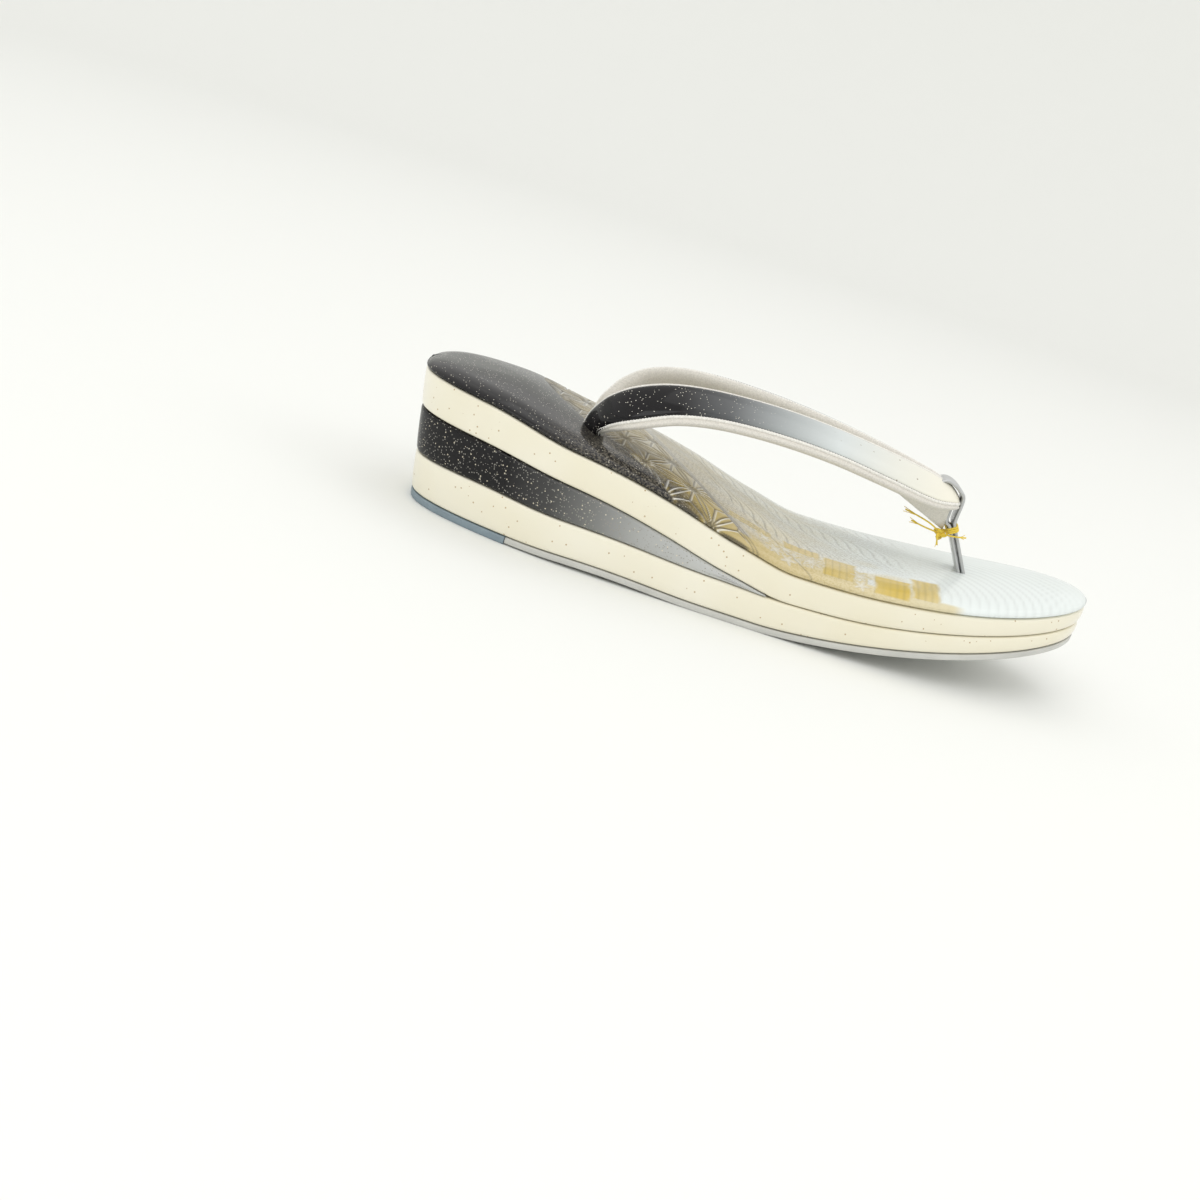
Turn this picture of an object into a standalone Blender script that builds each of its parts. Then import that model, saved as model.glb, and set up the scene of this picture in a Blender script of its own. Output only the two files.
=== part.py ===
"""Women's formal kimono sandal: a stacked, enamel-wrapped sole under padded thong straps.

Metres, +Z up, +X to the toe, +Y to the wearer's left. The origin lies on the floor under the
middle of the sole, which stands on its heel lift and on the ball of its outsole.
"""

import math

import bmesh
import bpy
from mathutils import Vector

# Plan of the sole. Each end is a rounded form of its own length, and they meet at the full width.
SOLE_LENGTH = 0.240
BALL_WIDTH = 0.0834
HEEL_ROUND_LENGTH = 0.120
TOE_ROUND_LENGTH = 0.101
HEEL_ROUND_POWERS = (3.0, 3.0)
TOE_ROUND_POWERS = (3.2, 2.1)

# Bottom line of the sole, from the heel lift over the arch and the ball to the toe.
LIFT_LENGTH = 0.045
LIFT_PROUD = 0.0005
ARCH_RISE = 0.0009
BALL_START = 0.114
BALL_END = 0.133
TOE_SPRING = 0.023
TOE_SPRING_POWER = 1.57

# Thickness of each layer at the heel, and of the layers that run to the toe.
OUTSOLE_THICKNESS = 0.0024
LOWER_HEEL_THICKNESS = 0.0137
WEDGE_HEEL_THICKNESS = 0.0157
WEDGE_LENGTH = 0.141
WEDGE_TIP_ROW = 0.59
WEDGE_TIP_SHARE = 0.05
UPPER_HEEL_THICKNESS = 0.0132
CUSHION_EDGE_HEIGHT = 0.0037
CUSHION_ROLL_WIDTH = 0.0095
CUSHION_DOME = 0.0022
CUSHION_END_LENGTH = 0.030

# How the wall leans in towards the floor, at the heel's back and along the sides and toe.
HEEL_RAKE = 0.14
SIDE_RAKE = 0.03
RAKE_LENGTH = 0.060
EDGE_ROUND = 0.0008
GAP = 0.0003

# Straps. Places are measured along the sole from the heel's back.
ANCHOR_PLACE = 0.0625
NOSE_PLACE = 0.1843
STRAP_SPREAD = 0.0320
STRAP_RISE = 0.0350
STRAP_WIDTH = 0.0178
STRAP_THICKNESS = 0.0080
STRAP_OUTER_SHARE = 0.58
ANCHOR_CLEARANCE = 0.0003

# Lining web that runs from the lower edges of both arms down to the tie.
WEB_START = 0.715
WEB_THICKNESS = 0.0016
WEB_STOP = 0.0036
WEB_ROOT_SHARE = 0.36
WEB_EDGE_SHARE = 0.40
WEB_TAPER = 0.45

# Loop of folded leather over the nose of the straps, and the thread that ties it.
LOOP_WIDTH = 0.0098
LOOP_LEG_WIDTH = 0.0090
LOOP_THICKNESS = 0.0013
LOOP_EDGE_ROUND = 0.0004
THONG_PLACE = 0.1963
TIE_PLACE = 0.1887
TIE_HEIGHT = 0.0140
THREAD_DIAMETER = 0.0007
THREAD_TURNS = 3
KNOT_LENGTH = 0.0042
KNOT_WIDTH = 0.0034
KNOT_HEIGHT = 0.0032
KNOT_SINK = 0.0002
THREAD_ENDS = [
    # back, aside, up: how far each loose end runs from the knot
    (0.0140, 0.0015, 0.0026),
    (0.0105, 0.0005, -0.0010),
]

STATIONS = 44
STRAP_STATIONS = 44
STRAP_SIDES = 16

# Thickness of the layers along the sole, as shares of their thickness at the heel.
LAYER_TABLE = [
    # along, lower, wedge, upper
    (0.00, 0.985, 1.00, 1.00),
    (0.12, 1.01, 0.90, 0.96),
    (0.25, 0.87, 0.78, 0.84),
    (0.40, 0.79, 0.50, 0.83),
    (0.50, 0.76, 0.22, 0.78),
    (0.59, 0.70, 0.05, 0.73),
    (0.70, 0.57, 0.05, 0.67),
    (0.85, 0.46, 0.05, 0.52),
    (1.00, 0.35, 0.05, 0.43),
]

# One arm of the straps, from its hole to the nose. Turn is how far the outer face looks forward
# of straight outward, and lift how far it looks up, both in degrees.
STRAP_TABLE = [
    # forward, outward, above, turn, lift, width, thickness
    (-0.012, 0.61, -0.300, -45.0, 5.0, 0.76, 0.76),
    (-0.005, 0.64, -0.100, -45.0, 14.0, 0.80, 0.80),
    (0.006, 0.70, 0.080, -42.0, 24.0, 0.88, 0.90),
    (0.030, 0.79, 0.230, -36.0, 34.0, 0.95, 0.98),
    (0.087, 0.85, 0.410, -22.0, 46.0, 1.00, 1.00),
    (0.186, 0.81, 0.605, -2.0, 58.0, 1.00, 1.00),
    (0.310, 0.70, 0.760, 10.0, 63.0, 1.00, 1.00),
    (0.475, 0.56, 0.912, 12.0, 64.0, 1.00, 1.00),
    (0.640, 0.46, 0.978, 12.0, 65.0, 1.00, 1.00),
    (0.789, 0.375, 0.898, 15.0, 63.0, 0.98, 0.96),
    (0.900, 0.285, 0.805, 24.0, 59.0, 0.92, 0.88),
    (0.955, 0.215, 0.760, 38.0, 56.0, 0.84, 0.78),
    (0.990, 0.135, 0.742, 70.0, 53.0, 0.74, 0.70),
    (1.000, 0.000, 0.737, 90.0, 52.0, 0.68, 0.68),
]


def clear_scene():
    for obj in list(bpy.data.objects):
        bpy.data.objects.remove(obj, do_unlink=True)


def make_material(name, colour, roughness, metallic=0.0, coat=0.0):
    material = bpy.data.materials.new(name)
    material.use_nodes = True
    shader = material.node_tree.nodes["Principled BSDF"]
    shader.inputs["Base Color"].default_value = (*colour, 1.0)
    shader.inputs["Roughness"].default_value = roughness
    shader.inputs["Metallic"].default_value = metallic
    shader.inputs["Coat Weight"].default_value = coat
    return material


def smooth_column(rows, column, at):
    """The column's value at a place along the rows, on a curve that never overshoots its rows."""
    places = [row[0] for row in rows]
    values = [row[column] for row in rows]
    if at <= places[0]:
        return values[0]
    if at >= places[-1]:
        return values[-1]
    index = max(i for i in range(len(rows) - 1) if places[i] <= at)
    steps = [places[i + 1] - places[i] for i in range(len(rows) - 1)]
    slopes = [(values[i + 1] - values[i]) / steps[i] for i in range(len(rows) - 1)]

    def tangent(i):
        if i == 0 or i == len(rows) - 1 or slopes[i - 1] * slopes[i] <= 0:
            return 0.0 if 0 < i < len(rows) - 1 else slopes[min(i, len(slopes) - 1)]
        before, after = steps[i - 1], steps[i]
        return 3 * (before + after) / (
            (2 * after + before) / slopes[i - 1] + (after + 2 * before) / slopes[i]
        )

    span = steps[index]
    t = (at - places[index]) / span
    start, end = tangent(index) * span, tangent(index + 1) * span
    return (
        values[index] * (1 + 2 * t) * (1 - t) ** 2
        + start * t * (1 - t) ** 2
        + values[index + 1] * t * t * (3 - 2 * t)
        + end * t * t * (t - 1)
    )


def half_width(along):
    """Half the width of the rim at a distance from the heel's back."""
    if along < HEEL_ROUND_LENGTH:
        share = 1 - along / HEEL_ROUND_LENGTH
        powers = HEEL_ROUND_POWERS
    elif along > SOLE_LENGTH - TOE_ROUND_LENGTH:
        share = 1 - (SOLE_LENGTH - along) / TOE_ROUND_LENGTH
        powers = TOE_ROUND_POWERS
    else:
        return BALL_WIDTH / 2
    inside = max(0.0, 1 - min(1.0, share) ** powers[0])
    return BALL_WIDTH / 2 * inside ** (1 / powers[1])


def bottom(along):
    """Height of the underside over the floor: arch, ball and toe spring."""
    if along > BALL_END:
        share = (along - BALL_END) / (SOLE_LENGTH - BALL_END)
        return TOE_SPRING * share**TOE_SPRING_POWER
    if along > BALL_START:
        return 0.0
    lift = LIFT_PROUD * min(1.0, (BALL_START - along) / (BALL_START - LIFT_LENGTH))
    if along < LIFT_LENGTH:
        return lift
    share = (along - LIFT_LENGTH) / (BALL_START - LIFT_LENGTH)
    return lift + ARCH_RISE * math.sin(math.pi * share) ** 2


def layer_thickness(along, column, heel_thickness):
    return heel_thickness * smooth_column(LAYER_TABLE, column, along / SOLE_LENGTH)


def lower_base(along):
    return bottom(along) + OUTSOLE_THICKNESS


def wedge_base(along):
    return lower_base(along) + layer_thickness(along, 1, LOWER_HEEL_THICKNESS)


def wedge_room(along):
    """Height between the two wrapped layers, which closes to a gap ahead of the wedge."""
    share = along / WEDGE_LENGTH
    if share >= 1:
        return 0.0
    value = smooth_column(LAYER_TABLE, 2, share * WEDGE_TIP_ROW)
    return WEDGE_HEEL_THICKNESS * (value - WEDGE_TIP_SHARE) / (1 - WEDGE_TIP_SHARE)


def upper_base(along):
    return wedge_base(along) + wedge_room(along)


def rim(along):
    """Height of the upper layer's top edge, on which the cushion lies."""
    return upper_base(along) + layer_thickness(along, 3, UPPER_HEEL_THICKNESS)


def wall_rake(along):
    share = min(1.0, along / RAKE_LENGTH)
    return HEEL_RAKE + (SIDE_RAKE - HEEL_RAKE) * share


def plan_point(along):
    """A point of the rim's outline on the +Y side, and its outward direction in the plan."""
    reach = 0.0002
    before = max(0.0, along - reach)
    after = min(SOLE_LENGTH, along + reach)
    width = half_width(along)
    if width == 0.0:
        return Vector((along, 0.0)), Vector((-1.0 if along < SOLE_LENGTH / 2 else 1.0, 0.0))
    run = Vector((after - before, half_width(after) - half_width(before))).normalized()
    return Vector((along, width)), Vector((-run.y, run.x))


def wall_point(along, side, inset, height):
    """A point of a layer's section: inset from the rim's outline, at a height rule of its own."""
    place, outward = plan_point(along)
    nominal = height(along)
    inward = inset + wall_rake(along) * max(0.0, rim(along) - nominal)
    moved = place - outward * inward
    moved.x = min(max(moved.x, 0.0), SOLE_LENGTH)
    return Vector((moved.x - SOLE_LENGTH / 2, side * max(0.0, moved.y), height(moved.x)))


def spaced(start, end, count):
    """Places along the sole, close together where an end is round."""
    def angle(along):
        return math.acos(1 - 2 * along / SOLE_LENGTH)

    first, last = angle(start), angle(end)
    places = [
        SOLE_LENGTH * (1 - math.cos(first + (last - first) * i / count)) / 2 for i in range(count + 1)
    ]
    places[0], places[-1] = start, end
    return places


def loft_sections(name, sections, material, closed_ends=False):
    """One closed body through sections that all have the same number of points."""
    mesh = bpy.data.meshes.new(name)
    bm = bmesh.new()
    count = len(sections[0])
    bmesh.ops.create_grid(bm, x_segments=len(sections) - 1, y_segments=count, size=1.0)
    bm.verts.ensure_lookup_table()
    order = sorted(bm.verts, key=lambda v: (round(v.co.x, 6), round(v.co.y, 6)))
    for index, vert in enumerate(order):
        section, point = divmod(index, count + 1)
        vert.co = sections[section][point % count]
    bmesh.ops.remove_doubles(bm, verts=bm.verts, dist=1e-7)
    bmesh.ops.dissolve_degenerate(bm, edges=bm.edges, dist=1e-7)
    if closed_ends:
        bmesh.ops.holes_fill(bm, edges=bm.edges, sides=0)
    bmesh.ops.triangulate(bm, faces=[f for f in bm.faces if len(f.verts) > 4])
    bmesh.ops.recalc_face_normals(bm, faces=bm.faces)
    bm.to_mesh(mesh)
    bm.free()
    mesh.shade_smooth()
    mesh.set_sharp_from_angle(angle=math.radians(40))
    obj = bpy.data.objects.new(name, mesh)
    if material:
        obj.data.materials.append(material)
    bpy.context.scene.collection.objects.link(obj)
    return obj


def layer_section(along, low, high, edge):
    """Section of a wrapped layer, with its four edges eased."""
    def low_eased(x):
        return low(x) + edge

    def high_eased(x):
        return high(x) - edge

    steps = [(edge, low), (0.0, low_eased), (0.0, high_eased), (edge, high)]
    right = [wall_point(along, 1, inset, height) for inset, height in steps]
    left = [wall_point(along, -1, inset, height) for inset, height in reversed(steps)]
    return right + left


def make_layer(name, low, high, start, end, material, edge=EDGE_ROUND, count=STATIONS):
    sections = [layer_section(x, low, high, edge) for x in spaced(start, end, count)]
    return loft_sections(name, sections, material, closed_ends=True)


def make_heel_lift():
    material = make_material("lift_rubber", (0.26, 0.33, 0.38), 0.6)
    return make_layer(
        "heel_lift",
        lambda x: 0.0,
        lambda x: lower_base(x) - GAP,
        0.0,
        LIFT_LENGTH - GAP,
        material,
        edge=EDGE_ROUND / 2,
        count=STATIONS // 2,
    )


def make_outsole():
    material = make_material("outsole_sheet", (0.56, 0.56, 0.53), 0.45)
    return make_layer(
        "outsole",
        bottom,
        lambda x: lower_base(x) - GAP,
        LIFT_LENGTH,
        SOLE_LENGTH,
        material,
        edge=EDGE_ROUND / 2,
    )


def make_lower_layer():
    material = make_material("cream_enamel_lower", (0.88, 0.85, 0.72), 0.25, coat=0.5)
    return make_layer(
        "lower_layer", lower_base, lambda x: wedge_base(x) - GAP, 0.0, SOLE_LENGTH, material
    )


def make_wedge():
    """The dark layer, which runs out to a blunt tip where its room closes."""
    tip = WEDGE_LENGTH
    while wedge_room(tip) < 3 * GAP:
        tip -= 0.0005
    material = make_material("wedge_enamel", (0.05, 0.045, 0.05), 0.15, coat=1.0)
    return make_layer(
        "wedge",
        wedge_base,
        lambda x: upper_base(x) - GAP,
        0.0,
        tip,
        material,
        edge=GAP / 2,
        count=STATIONS // 2,
    )


def make_upper_layer():
    material = make_material("cream_enamel_upper", (0.88, 0.85, 0.72), 0.25, coat=0.5)
    return make_layer(
        "upper_layer", upper_base, lambda x: rim(x) - GAP, 0.0, SOLE_LENGTH, material
    )


def roll_height(inset):
    """Height of the cushion's rounded edge at a distance in from its rim."""
    share = 1 - min(1.0, inset / CUSHION_ROLL_WIDTH)
    under = EDGE_ROUND / 2
    return under + (CUSHION_EDGE_HEIGHT - under) * math.sqrt(max(0.0, 1 - share * share))


def dome_height(along, across):
    """The slow rise of the padding towards the middle of the foot."""
    room = max(0.001, half_width(along) - CUSHION_ROLL_WIDTH)
    side = max(0.0, 1 - (across / room) ** 2)
    end = min(1.0, min(along, SOLE_LENGTH - along) / CUSHION_END_LENGTH)
    return CUSHION_DOME * side * math.sin(math.pi / 2 * end)


def cushion_top(along, across=0.0):
    """Height of the footbed under a point of the plan, away from its rounded edge."""
    return rim(along) + CUSHION_EDGE_HEIGHT + dome_height(along, across)


def cushion_section(along):
    insets = [CUSHION_ROLL_WIDTH * share for share in (0.0, 0.03, 0.12, 0.3, 0.6, 1.0)]
    across = [0.75, 0.5, 0.25, 0.0]
    under = EDGE_ROUND / 2

    def side_points(side):
        points = [wall_point(along, side, under, rim)]
        for inset in insets:
            point = wall_point(along, side, inset, rim)
            point.z += roll_height(inset)
            points.append(point)
        crown = points[-1]
        for share in across:
            place = crown.x + SOLE_LENGTH / 2
            point = Vector((crown.x, crown.y * share, crown.z))
            point.z += dome_height(place, point.y)
            points.append(point)
        return points

    right = side_points(1)
    left = side_points(-1)
    return right + left[-2::-1]


def strap_rows():
    """The arm's own points and looks, then their mirror images past the nose."""
    rows = []
    for forward, outward, above, turn, lift, width, thickness in STRAP_TABLE:
        along = ANCHOR_PLACE + forward * (NOSE_PLACE - ANCHOR_PLACE)
        side = -outward * STRAP_SPREAD
        centre = Vector((
            along - SOLE_LENGTH / 2, side, cushion_top(along, side) + above * STRAP_RISE
        ))
        turned, lifted = math.radians(turn), math.radians(lift)
        look = Vector((
            math.sin(turned) * math.cos(lifted),
            -math.cos(turned) * math.cos(lifted),
            math.sin(lifted),
        ))
        rows.append((centre, look, width * STRAP_WIDTH, thickness * STRAP_THICKNESS))
    mirrored = []
    for centre, look, width, thickness in reversed(rows[:-1]):
        flip = Vector((1.0, -1.0, 1.0))
        mirrored.append((centre * flip, look * flip, width, thickness))
    return rows, mirrored


def through(values, t):
    """A Catmull-Rom curve through the values, at t rows from the first."""
    index = min(int(t), len(values) - 2)
    u = t - index
    p0 = values[max(0, index - 1)]
    p1 = values[index]
    p2 = values[index + 1]
    p3 = values[min(len(values) - 1, index + 2)]
    return (
        p1 * 2 + (p2 - p0) * u + (p0 * 2 - p1 * 5 + p2 * 4 - p3) * u * u
        + (p1 * 3 - p0 - p2 * 3 + p3) * u**3
    ) * 0.5


def strap_frames(count=STRAP_STATIONS):
    """Centre, outer look, width direction and sizes along one arm, evenly by rows."""
    rows, mirrored = strap_rows()
    every = rows + mirrored
    last = len(rows) - 1
    centres, looks, widths, depths = (list(column) for column in zip(*every))
    frames = []
    for i in range(count + 1):
        t = last * i / count
        centre = through(centres, t)
        step = 0.02
        run = through(centres, min(t + step, len(every) - 1)) - through(centres, max(0.0, t - step))
        run.normalize()
        if i == count:
            centre.y = 0.0
            run = Vector((0.0, 1.0, 0.0))
        look = through(looks, t)
        look = (look - run * look.dot(run)).normalized()
        up = run.cross(look).normalized()
        if up.z < 0:
            up = -up
        frames.append((centre, look, up, through(widths, t), through(depths, t)))
    return frames


def strap_section(frame):
    """A padded oval, fuller on its outer face than on its lining."""
    centre, look, up, width, depth = frame
    points = []
    for i in range(STRAP_SIDES):
        angle = 2 * math.pi * i / STRAP_SIDES
        bulge = STRAP_OUTER_SHARE if math.sin(angle) > 0 else 1 - STRAP_OUTER_SHARE
        points.append(
            centre + up * (math.cos(angle) * width / 2) + look * (math.sin(angle) * bulge * depth)
        )
    return points


def mirrored_body(name, sections, material):
    """Lofts one arm, whose last section lies in the mid plane, and mirrors it across."""
    mesh = bpy.data.meshes.new(name)
    bm = bmesh.new()
    count = len(sections[0])
    bmesh.ops.create_grid(bm, x_segments=len(sections) - 1, y_segments=count, size=1.0)
    bm.verts.ensure_lookup_table()
    order = sorted(bm.verts, key=lambda v: (round(v.co.x, 6), round(v.co.y, 6)))
    for index, vert in enumerate(order):
        section, point = divmod(index, count + 1)
        vert.co = sections[section][point % count]
        if section == len(sections) - 1:
            vert.co.y = 0.0
    bmesh.ops.remove_doubles(bm, verts=bm.verts, dist=1e-7)
    start = {v for v in bm.verts if v.co.y < -1e-6}
    rim_edges = [e for e in bm.edges if e.is_boundary and e.verts[0] in start and e.verts[1] in start]
    bmesh.ops.edgeloop_fill(bm, edges=rim_edges)
    bmesh.ops.triangulate(bm, faces=[f for f in bm.faces if len(f.verts) > 4])
    geometry = bm.verts[:] + bm.edges[:] + bm.faces[:]
    bmesh.ops.mirror(bm, geom=geometry, axis="Y", merge_dist=1e-6)
    bmesh.ops.remove_doubles(bm, verts=bm.verts, dist=1e-6)
    bmesh.ops.recalc_face_normals(bm, faces=bm.faces)
    bm.to_mesh(mesh)
    bm.free()
    mesh.shade_smooth()
    obj = bpy.data.objects.new(name, mesh)
    if material:
        obj.data.materials.append(material)
    bpy.context.scene.collection.objects.link(obj)
    return obj


def thong_axis():
    """The tie, where the legs pass the footbed, their direction upward, and the way across them."""
    tie = Vector((TIE_PLACE - SOLE_LENGTH / 2, 0.0, cushion_top(TIE_PLACE) + TIE_HEIGHT))
    thong = Vector((THONG_PLACE - SOLE_LENGTH / 2, 0.0, cushion_top(THONG_PLACE)))
    along = (tie - thong).normalized()
    across = Vector((along.z, 0.0, -along.x))
    return tie, thong, along, across


def web_sections():
    """The pinched lining: ruled between the strap's lower edge and a line down to the tie."""
    used = strap_frames()[int(WEB_START * STRAP_STATIONS) :]
    tie, _, along, _ = thong_axis()
    target = tie + along * WEB_STOP - Vector((0.0, WEB_THICKNESS / 2, 0.0))
    start_centre, _, start_up, start_width, _ = used[0]
    start = start_centre - start_up * (start_width * WEB_EDGE_SHARE)
    sections = []
    for i, (centre, look, up, width, _) in enumerate(used):
        share = i / (len(used) - 1)
        high = centre - up * (width * WEB_ROOT_SHARE)
        low = start.lerp(target, share)
        out = Vector((look.x, look.y, 0.0)).normalized()
        if share == 1.0:
            high.y = 0.0
            low.y = 0.0
            out = Vector((1.0, 0.0, 0.0))
        thick = out * (WEB_THICKNESS / 2)
        thin = out * (WEB_THICKNESS / 2 * (1 - WEB_TAPER * share))
        sections.append([high + thick, low + thin, low - thin, high - thick])
    return sections


def helper(obj):
    """Hides a form that only cuts or joins another."""
    obj.hide_render = True
    obj.display_type = "WIRE"
    return obj


def join_forms(target, form, operation, name):
    modifier = target.modifiers.new(name, "BOOLEAN")
    modifier.operation = operation
    modifier.solver = "EXACT"
    modifier.object = helper(form)


def make_seat_form():
    """Everything under the cushion's base, which trims the ends that stand in its holes."""
    def seat(x):
        return rim(x) + GAP

    sections = [layer_section(x, bottom, seat, 0.0) for x in spaced(0.0, SOLE_LENGTH, STATIONS)]
    return helper(loft_sections("seat_form", sections, None, closed_ends=True))


def make_straps(seat_form):
    material = make_material("strap_enamel", (0.62, 0.64, 0.62), 0.25, coat=0.6)
    straps = mirrored_body("straps", [strap_section(f) for f in strap_frames()], material)
    web = mirrored_body("strap_web_form", web_sections(), None)
    join_forms(straps, web, "UNION", "web")
    join_forms(straps, seat_form, "DIFFERENCE", "seat")
    return straps


def make_anchor_holes(cushion):
    """A hole for each arm, of the arm's own section plus the clearance round it."""
    grown = []
    for centre, look, up, width, depth in strap_frames()[: STRAP_STATIONS // 4]:
        room = 2 * ANCHOR_CLEARANCE
        grown.append(strap_section((centre, look, up, width + room, depth + room)))
    for side, name in ((1.0, "near_anchor_hole"), (-1.0, "far_anchor_hole")):
        flip = Vector((1.0, side, 1.0))
        sections = [[point * flip for point in section] for section in grown]
        hole = loft_sections(name, sections, None, closed_ends=True)
        join_forms(cushion, hole, "DIFFERENCE", name)


def make_thong_hole(cushion):
    tie, thong, along, across = thong_axis()
    wide = LOOP_THICKNESS + GAP / 2 + ANCHOR_CLEARANCE
    half = LOOP_LEG_WIDTH / 2 + ANCHOR_CLEARANCE
    depth = CUSHION_EDGE_HEIGHT + CUSHION_DOME
    sections = []
    for reach in (-2 * depth, depth / 2):
        centre = thong + along * reach
        sections.append([
            centre + across * (wide * x) + Vector((0.0, half * y, 0.0))
            for x, y in ((-1, -1), (1, -1), (1, 1), (-1, 1))
        ])
    hole = loft_sections("thong_hole", sections, None, closed_ends=True)
    join_forms(cushion, hole, "DIFFERENCE", "thong_hole")


def make_cushion():
    material = make_material("footbed_enamel", (0.62, 0.64, 0.62), 0.2, coat=0.8)
    sections = [cushion_section(x) for x in spaced(0.0, SOLE_LENGTH, STATIONS)]
    cushion = loft_sections("cushion", sections, material, closed_ends=True)
    make_anchor_holes(cushion)
    make_thong_hole(cushion)
    return cushion


def loop_route():
    """Middle line of the leather strip in the mid plane, from the back leg over the nose."""
    centre, look, up, width, depth = strap_frames()[-1]
    reach = GAP + LOOP_THICKNESS / 2
    tie, thong, along, across = thong_axis()
    foot = thong - along * (2 * CUSHION_EDGE_HEIGHT)
    leg = LOOP_THICKNESS / 2 + GAP / 2
    spread = WEB_THICKNESS * WEB_EDGE_SHARE + reach
    below = tie - along * WEB_STOP
    upper = tie + along * (THREAD_DIAMETER * THREAD_TURNS / 2 + GAP)

    def round_nose(degrees):
        angle = math.radians(degrees)
        bulge = STRAP_OUTER_SHARE if angle > 0 else 1 - STRAP_OUTER_SHARE
        return (
            centre
            + up * (math.cos(angle) * (width / 2 + reach))
            + look * (math.sin(angle) * (bulge * depth + reach))
        )

    back = [round_nose(degrees) for degrees in (-128, -95, -62, -30)]
    front = [round_nose(degrees) for degrees in (0, 30, 62, 95, 128)]
    return (
        [
            foot - across * leg,
            below - across * leg,
            upper - across * leg,
            tie - across * spread + along * WEB_STOP,
        ]
        + back
        + front
        + [
            tie + across * spread + along * WEB_STOP,
            upper + across * leg,
            below + across * leg,
            foot + across * leg,
        ]
    )


def strip_sections(room):
    """Sections of the leather strip along its route, grown by a room on every side."""
    route = loop_route()
    steps = 6
    last = len(route) - 1
    leg_share = LOOP_LEG_WIDTH / LOOP_WIDTH
    side = Vector((0.0, 1.0, 0.0))
    sections = []
    for i in range(steps * last + 1):
        t = i / steps
        if t <= 1 or t >= last - 1:
            index = 0 if t <= 1 else last - 1
            point = route[index].lerp(route[index + 1], t - index)
            run = (route[index + 1] - route[index]).normalized()
        else:
            inner = route[1:-1]
            point = through(inner, t - 1)
            run = (through(inner, t - 0.95) - through(inner, max(0.0, t - 1.05))).normalized()
        normal = Vector((run.z, 0.0, -run.x))
        middle = min(1.0, min(t, last - t) / 4)
        half = LOOP_WIDTH / 2 * (leg_share + (1 - leg_share) * middle) + room
        depth = LOOP_THICKNESS / 2 + room
        ease = LOOP_EDGE_ROUND
        corners = [
            (half - ease, depth), (ease - half, depth), (-half, depth - ease), (-half, ease - depth),
            (ease - half, -depth), (half - ease, -depth), (half, ease - depth), (half, depth - ease),
        ]
        sections.append([point + side * across + normal * up for across, up in corners])
    return sections


def make_toe_loop(seat_form, straps):
    """A strip bent over the nose, its two legs side by side from the tie down."""
    material = make_material("loop_leather", (0.55, 0.56, 0.56), 0.3, metallic=0.7)
    loop = loft_sections("toe_loop", strip_sections(0.0), material, closed_ends=True)
    join_forms(loop, seat_form, "DIFFERENCE", "seat")
    room = loft_sections("loop_room_form", strip_sections(GAP), None, closed_ends=True)
    join_forms(straps, room, "DIFFERENCE", "loop_room")
    return loop


def tube(name, points, diameter):
    """A round cord through its points, as a mesh with closed ends."""
    sections = []
    for i, point in enumerate(points):
        run = points[min(i + 1, len(points) - 1)] - points[max(0, i - 1)]
        run.normalize()
        side = run.cross(Vector((0.0, 0.0, 1.0)))
        if side.length < 1e-3:
            side = run.cross(Vector((0.0, 1.0, 0.0)))
        side.normalize()
        up = side.cross(run).normalized()
        ring = []
        for k in range(8):
            angle = 2 * math.pi * k / 8
            ring.append(point + (side * math.cos(angle) + up * math.sin(angle)) * (diameter / 2))
        sections.append(ring)
    return loft_sections(name, sections, None, closed_ends=True)


def make_thread_tie():
    """Thread wound round both legs, with a knot behind them and two loose ends."""
    material = make_material("gold_thread", (0.75, 0.52, 0.05), 0.6)
    tie, _, along, across = thong_axis()
    inner_x = LOOP_THICKNESS + GAP / 2 + GAP
    inner_y = LOOP_LEG_WIDTH / 2 + GAP
    band = THREAD_DIAMETER * THREAD_TURNS
    sections = []
    turns = 24
    for i in range(turns + 1):
        angle = 2 * math.pi * i / turns
        square_x = math.copysign(abs(math.cos(angle)) ** 0.35, math.cos(angle))
        square_y = math.copysign(abs(math.sin(angle)) ** 0.35, math.sin(angle))
        ring = []
        for reach, height in ((0.0, -0.5), (1.0, -0.35), (1.0, 0.35), (0.0, 0.5)):
            wide = THREAD_DIAMETER * reach
            ring.append(
                tie
                + across * (square_x * (inner_x + wide))
                + Vector((0.0, square_y * (inner_y + wide), 0.0))
                + along * (height * band)
            )
        sections.append(ring)
    tied = loft_sections("thread_tie", sections, material)
    back = tie - across * (inner_x + KNOT_LENGTH / 2 - KNOT_SINK) + Vector((0.0, -LOOP_LEG_WIDTH / 4, 0.0))
    knot_mesh = bpy.data.meshes.new("knot_form")
    bm = bmesh.new()
    bmesh.ops.create_icosphere(bm, subdivisions=2, radius=0.5)
    bmesh.ops.scale(bm, vec=(KNOT_LENGTH, KNOT_WIDTH, KNOT_HEIGHT), verts=bm.verts)
    bmesh.ops.translate(bm, vec=back, verts=bm.verts)
    bm.to_mesh(knot_mesh)
    bm.free()
    knot = bpy.data.objects.new("knot_form", knot_mesh)
    bpy.context.scene.collection.objects.link(knot)
    join_forms(tied, knot, "UNION", "knot")
    for number, (reach, aside, rise) in enumerate(THREAD_ENDS):
        tip = back + Vector((-reach, -aside, rise))
        middle = back.lerp(tip, 0.55) + Vector((0.0, 0.0, rise * 0.35))
        end = tube(f"thread_end_form_{number}", [back, middle, tip], THREAD_DIAMETER)
        join_forms(tied, end, "UNION", f"end {number}")
    return tied


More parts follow.
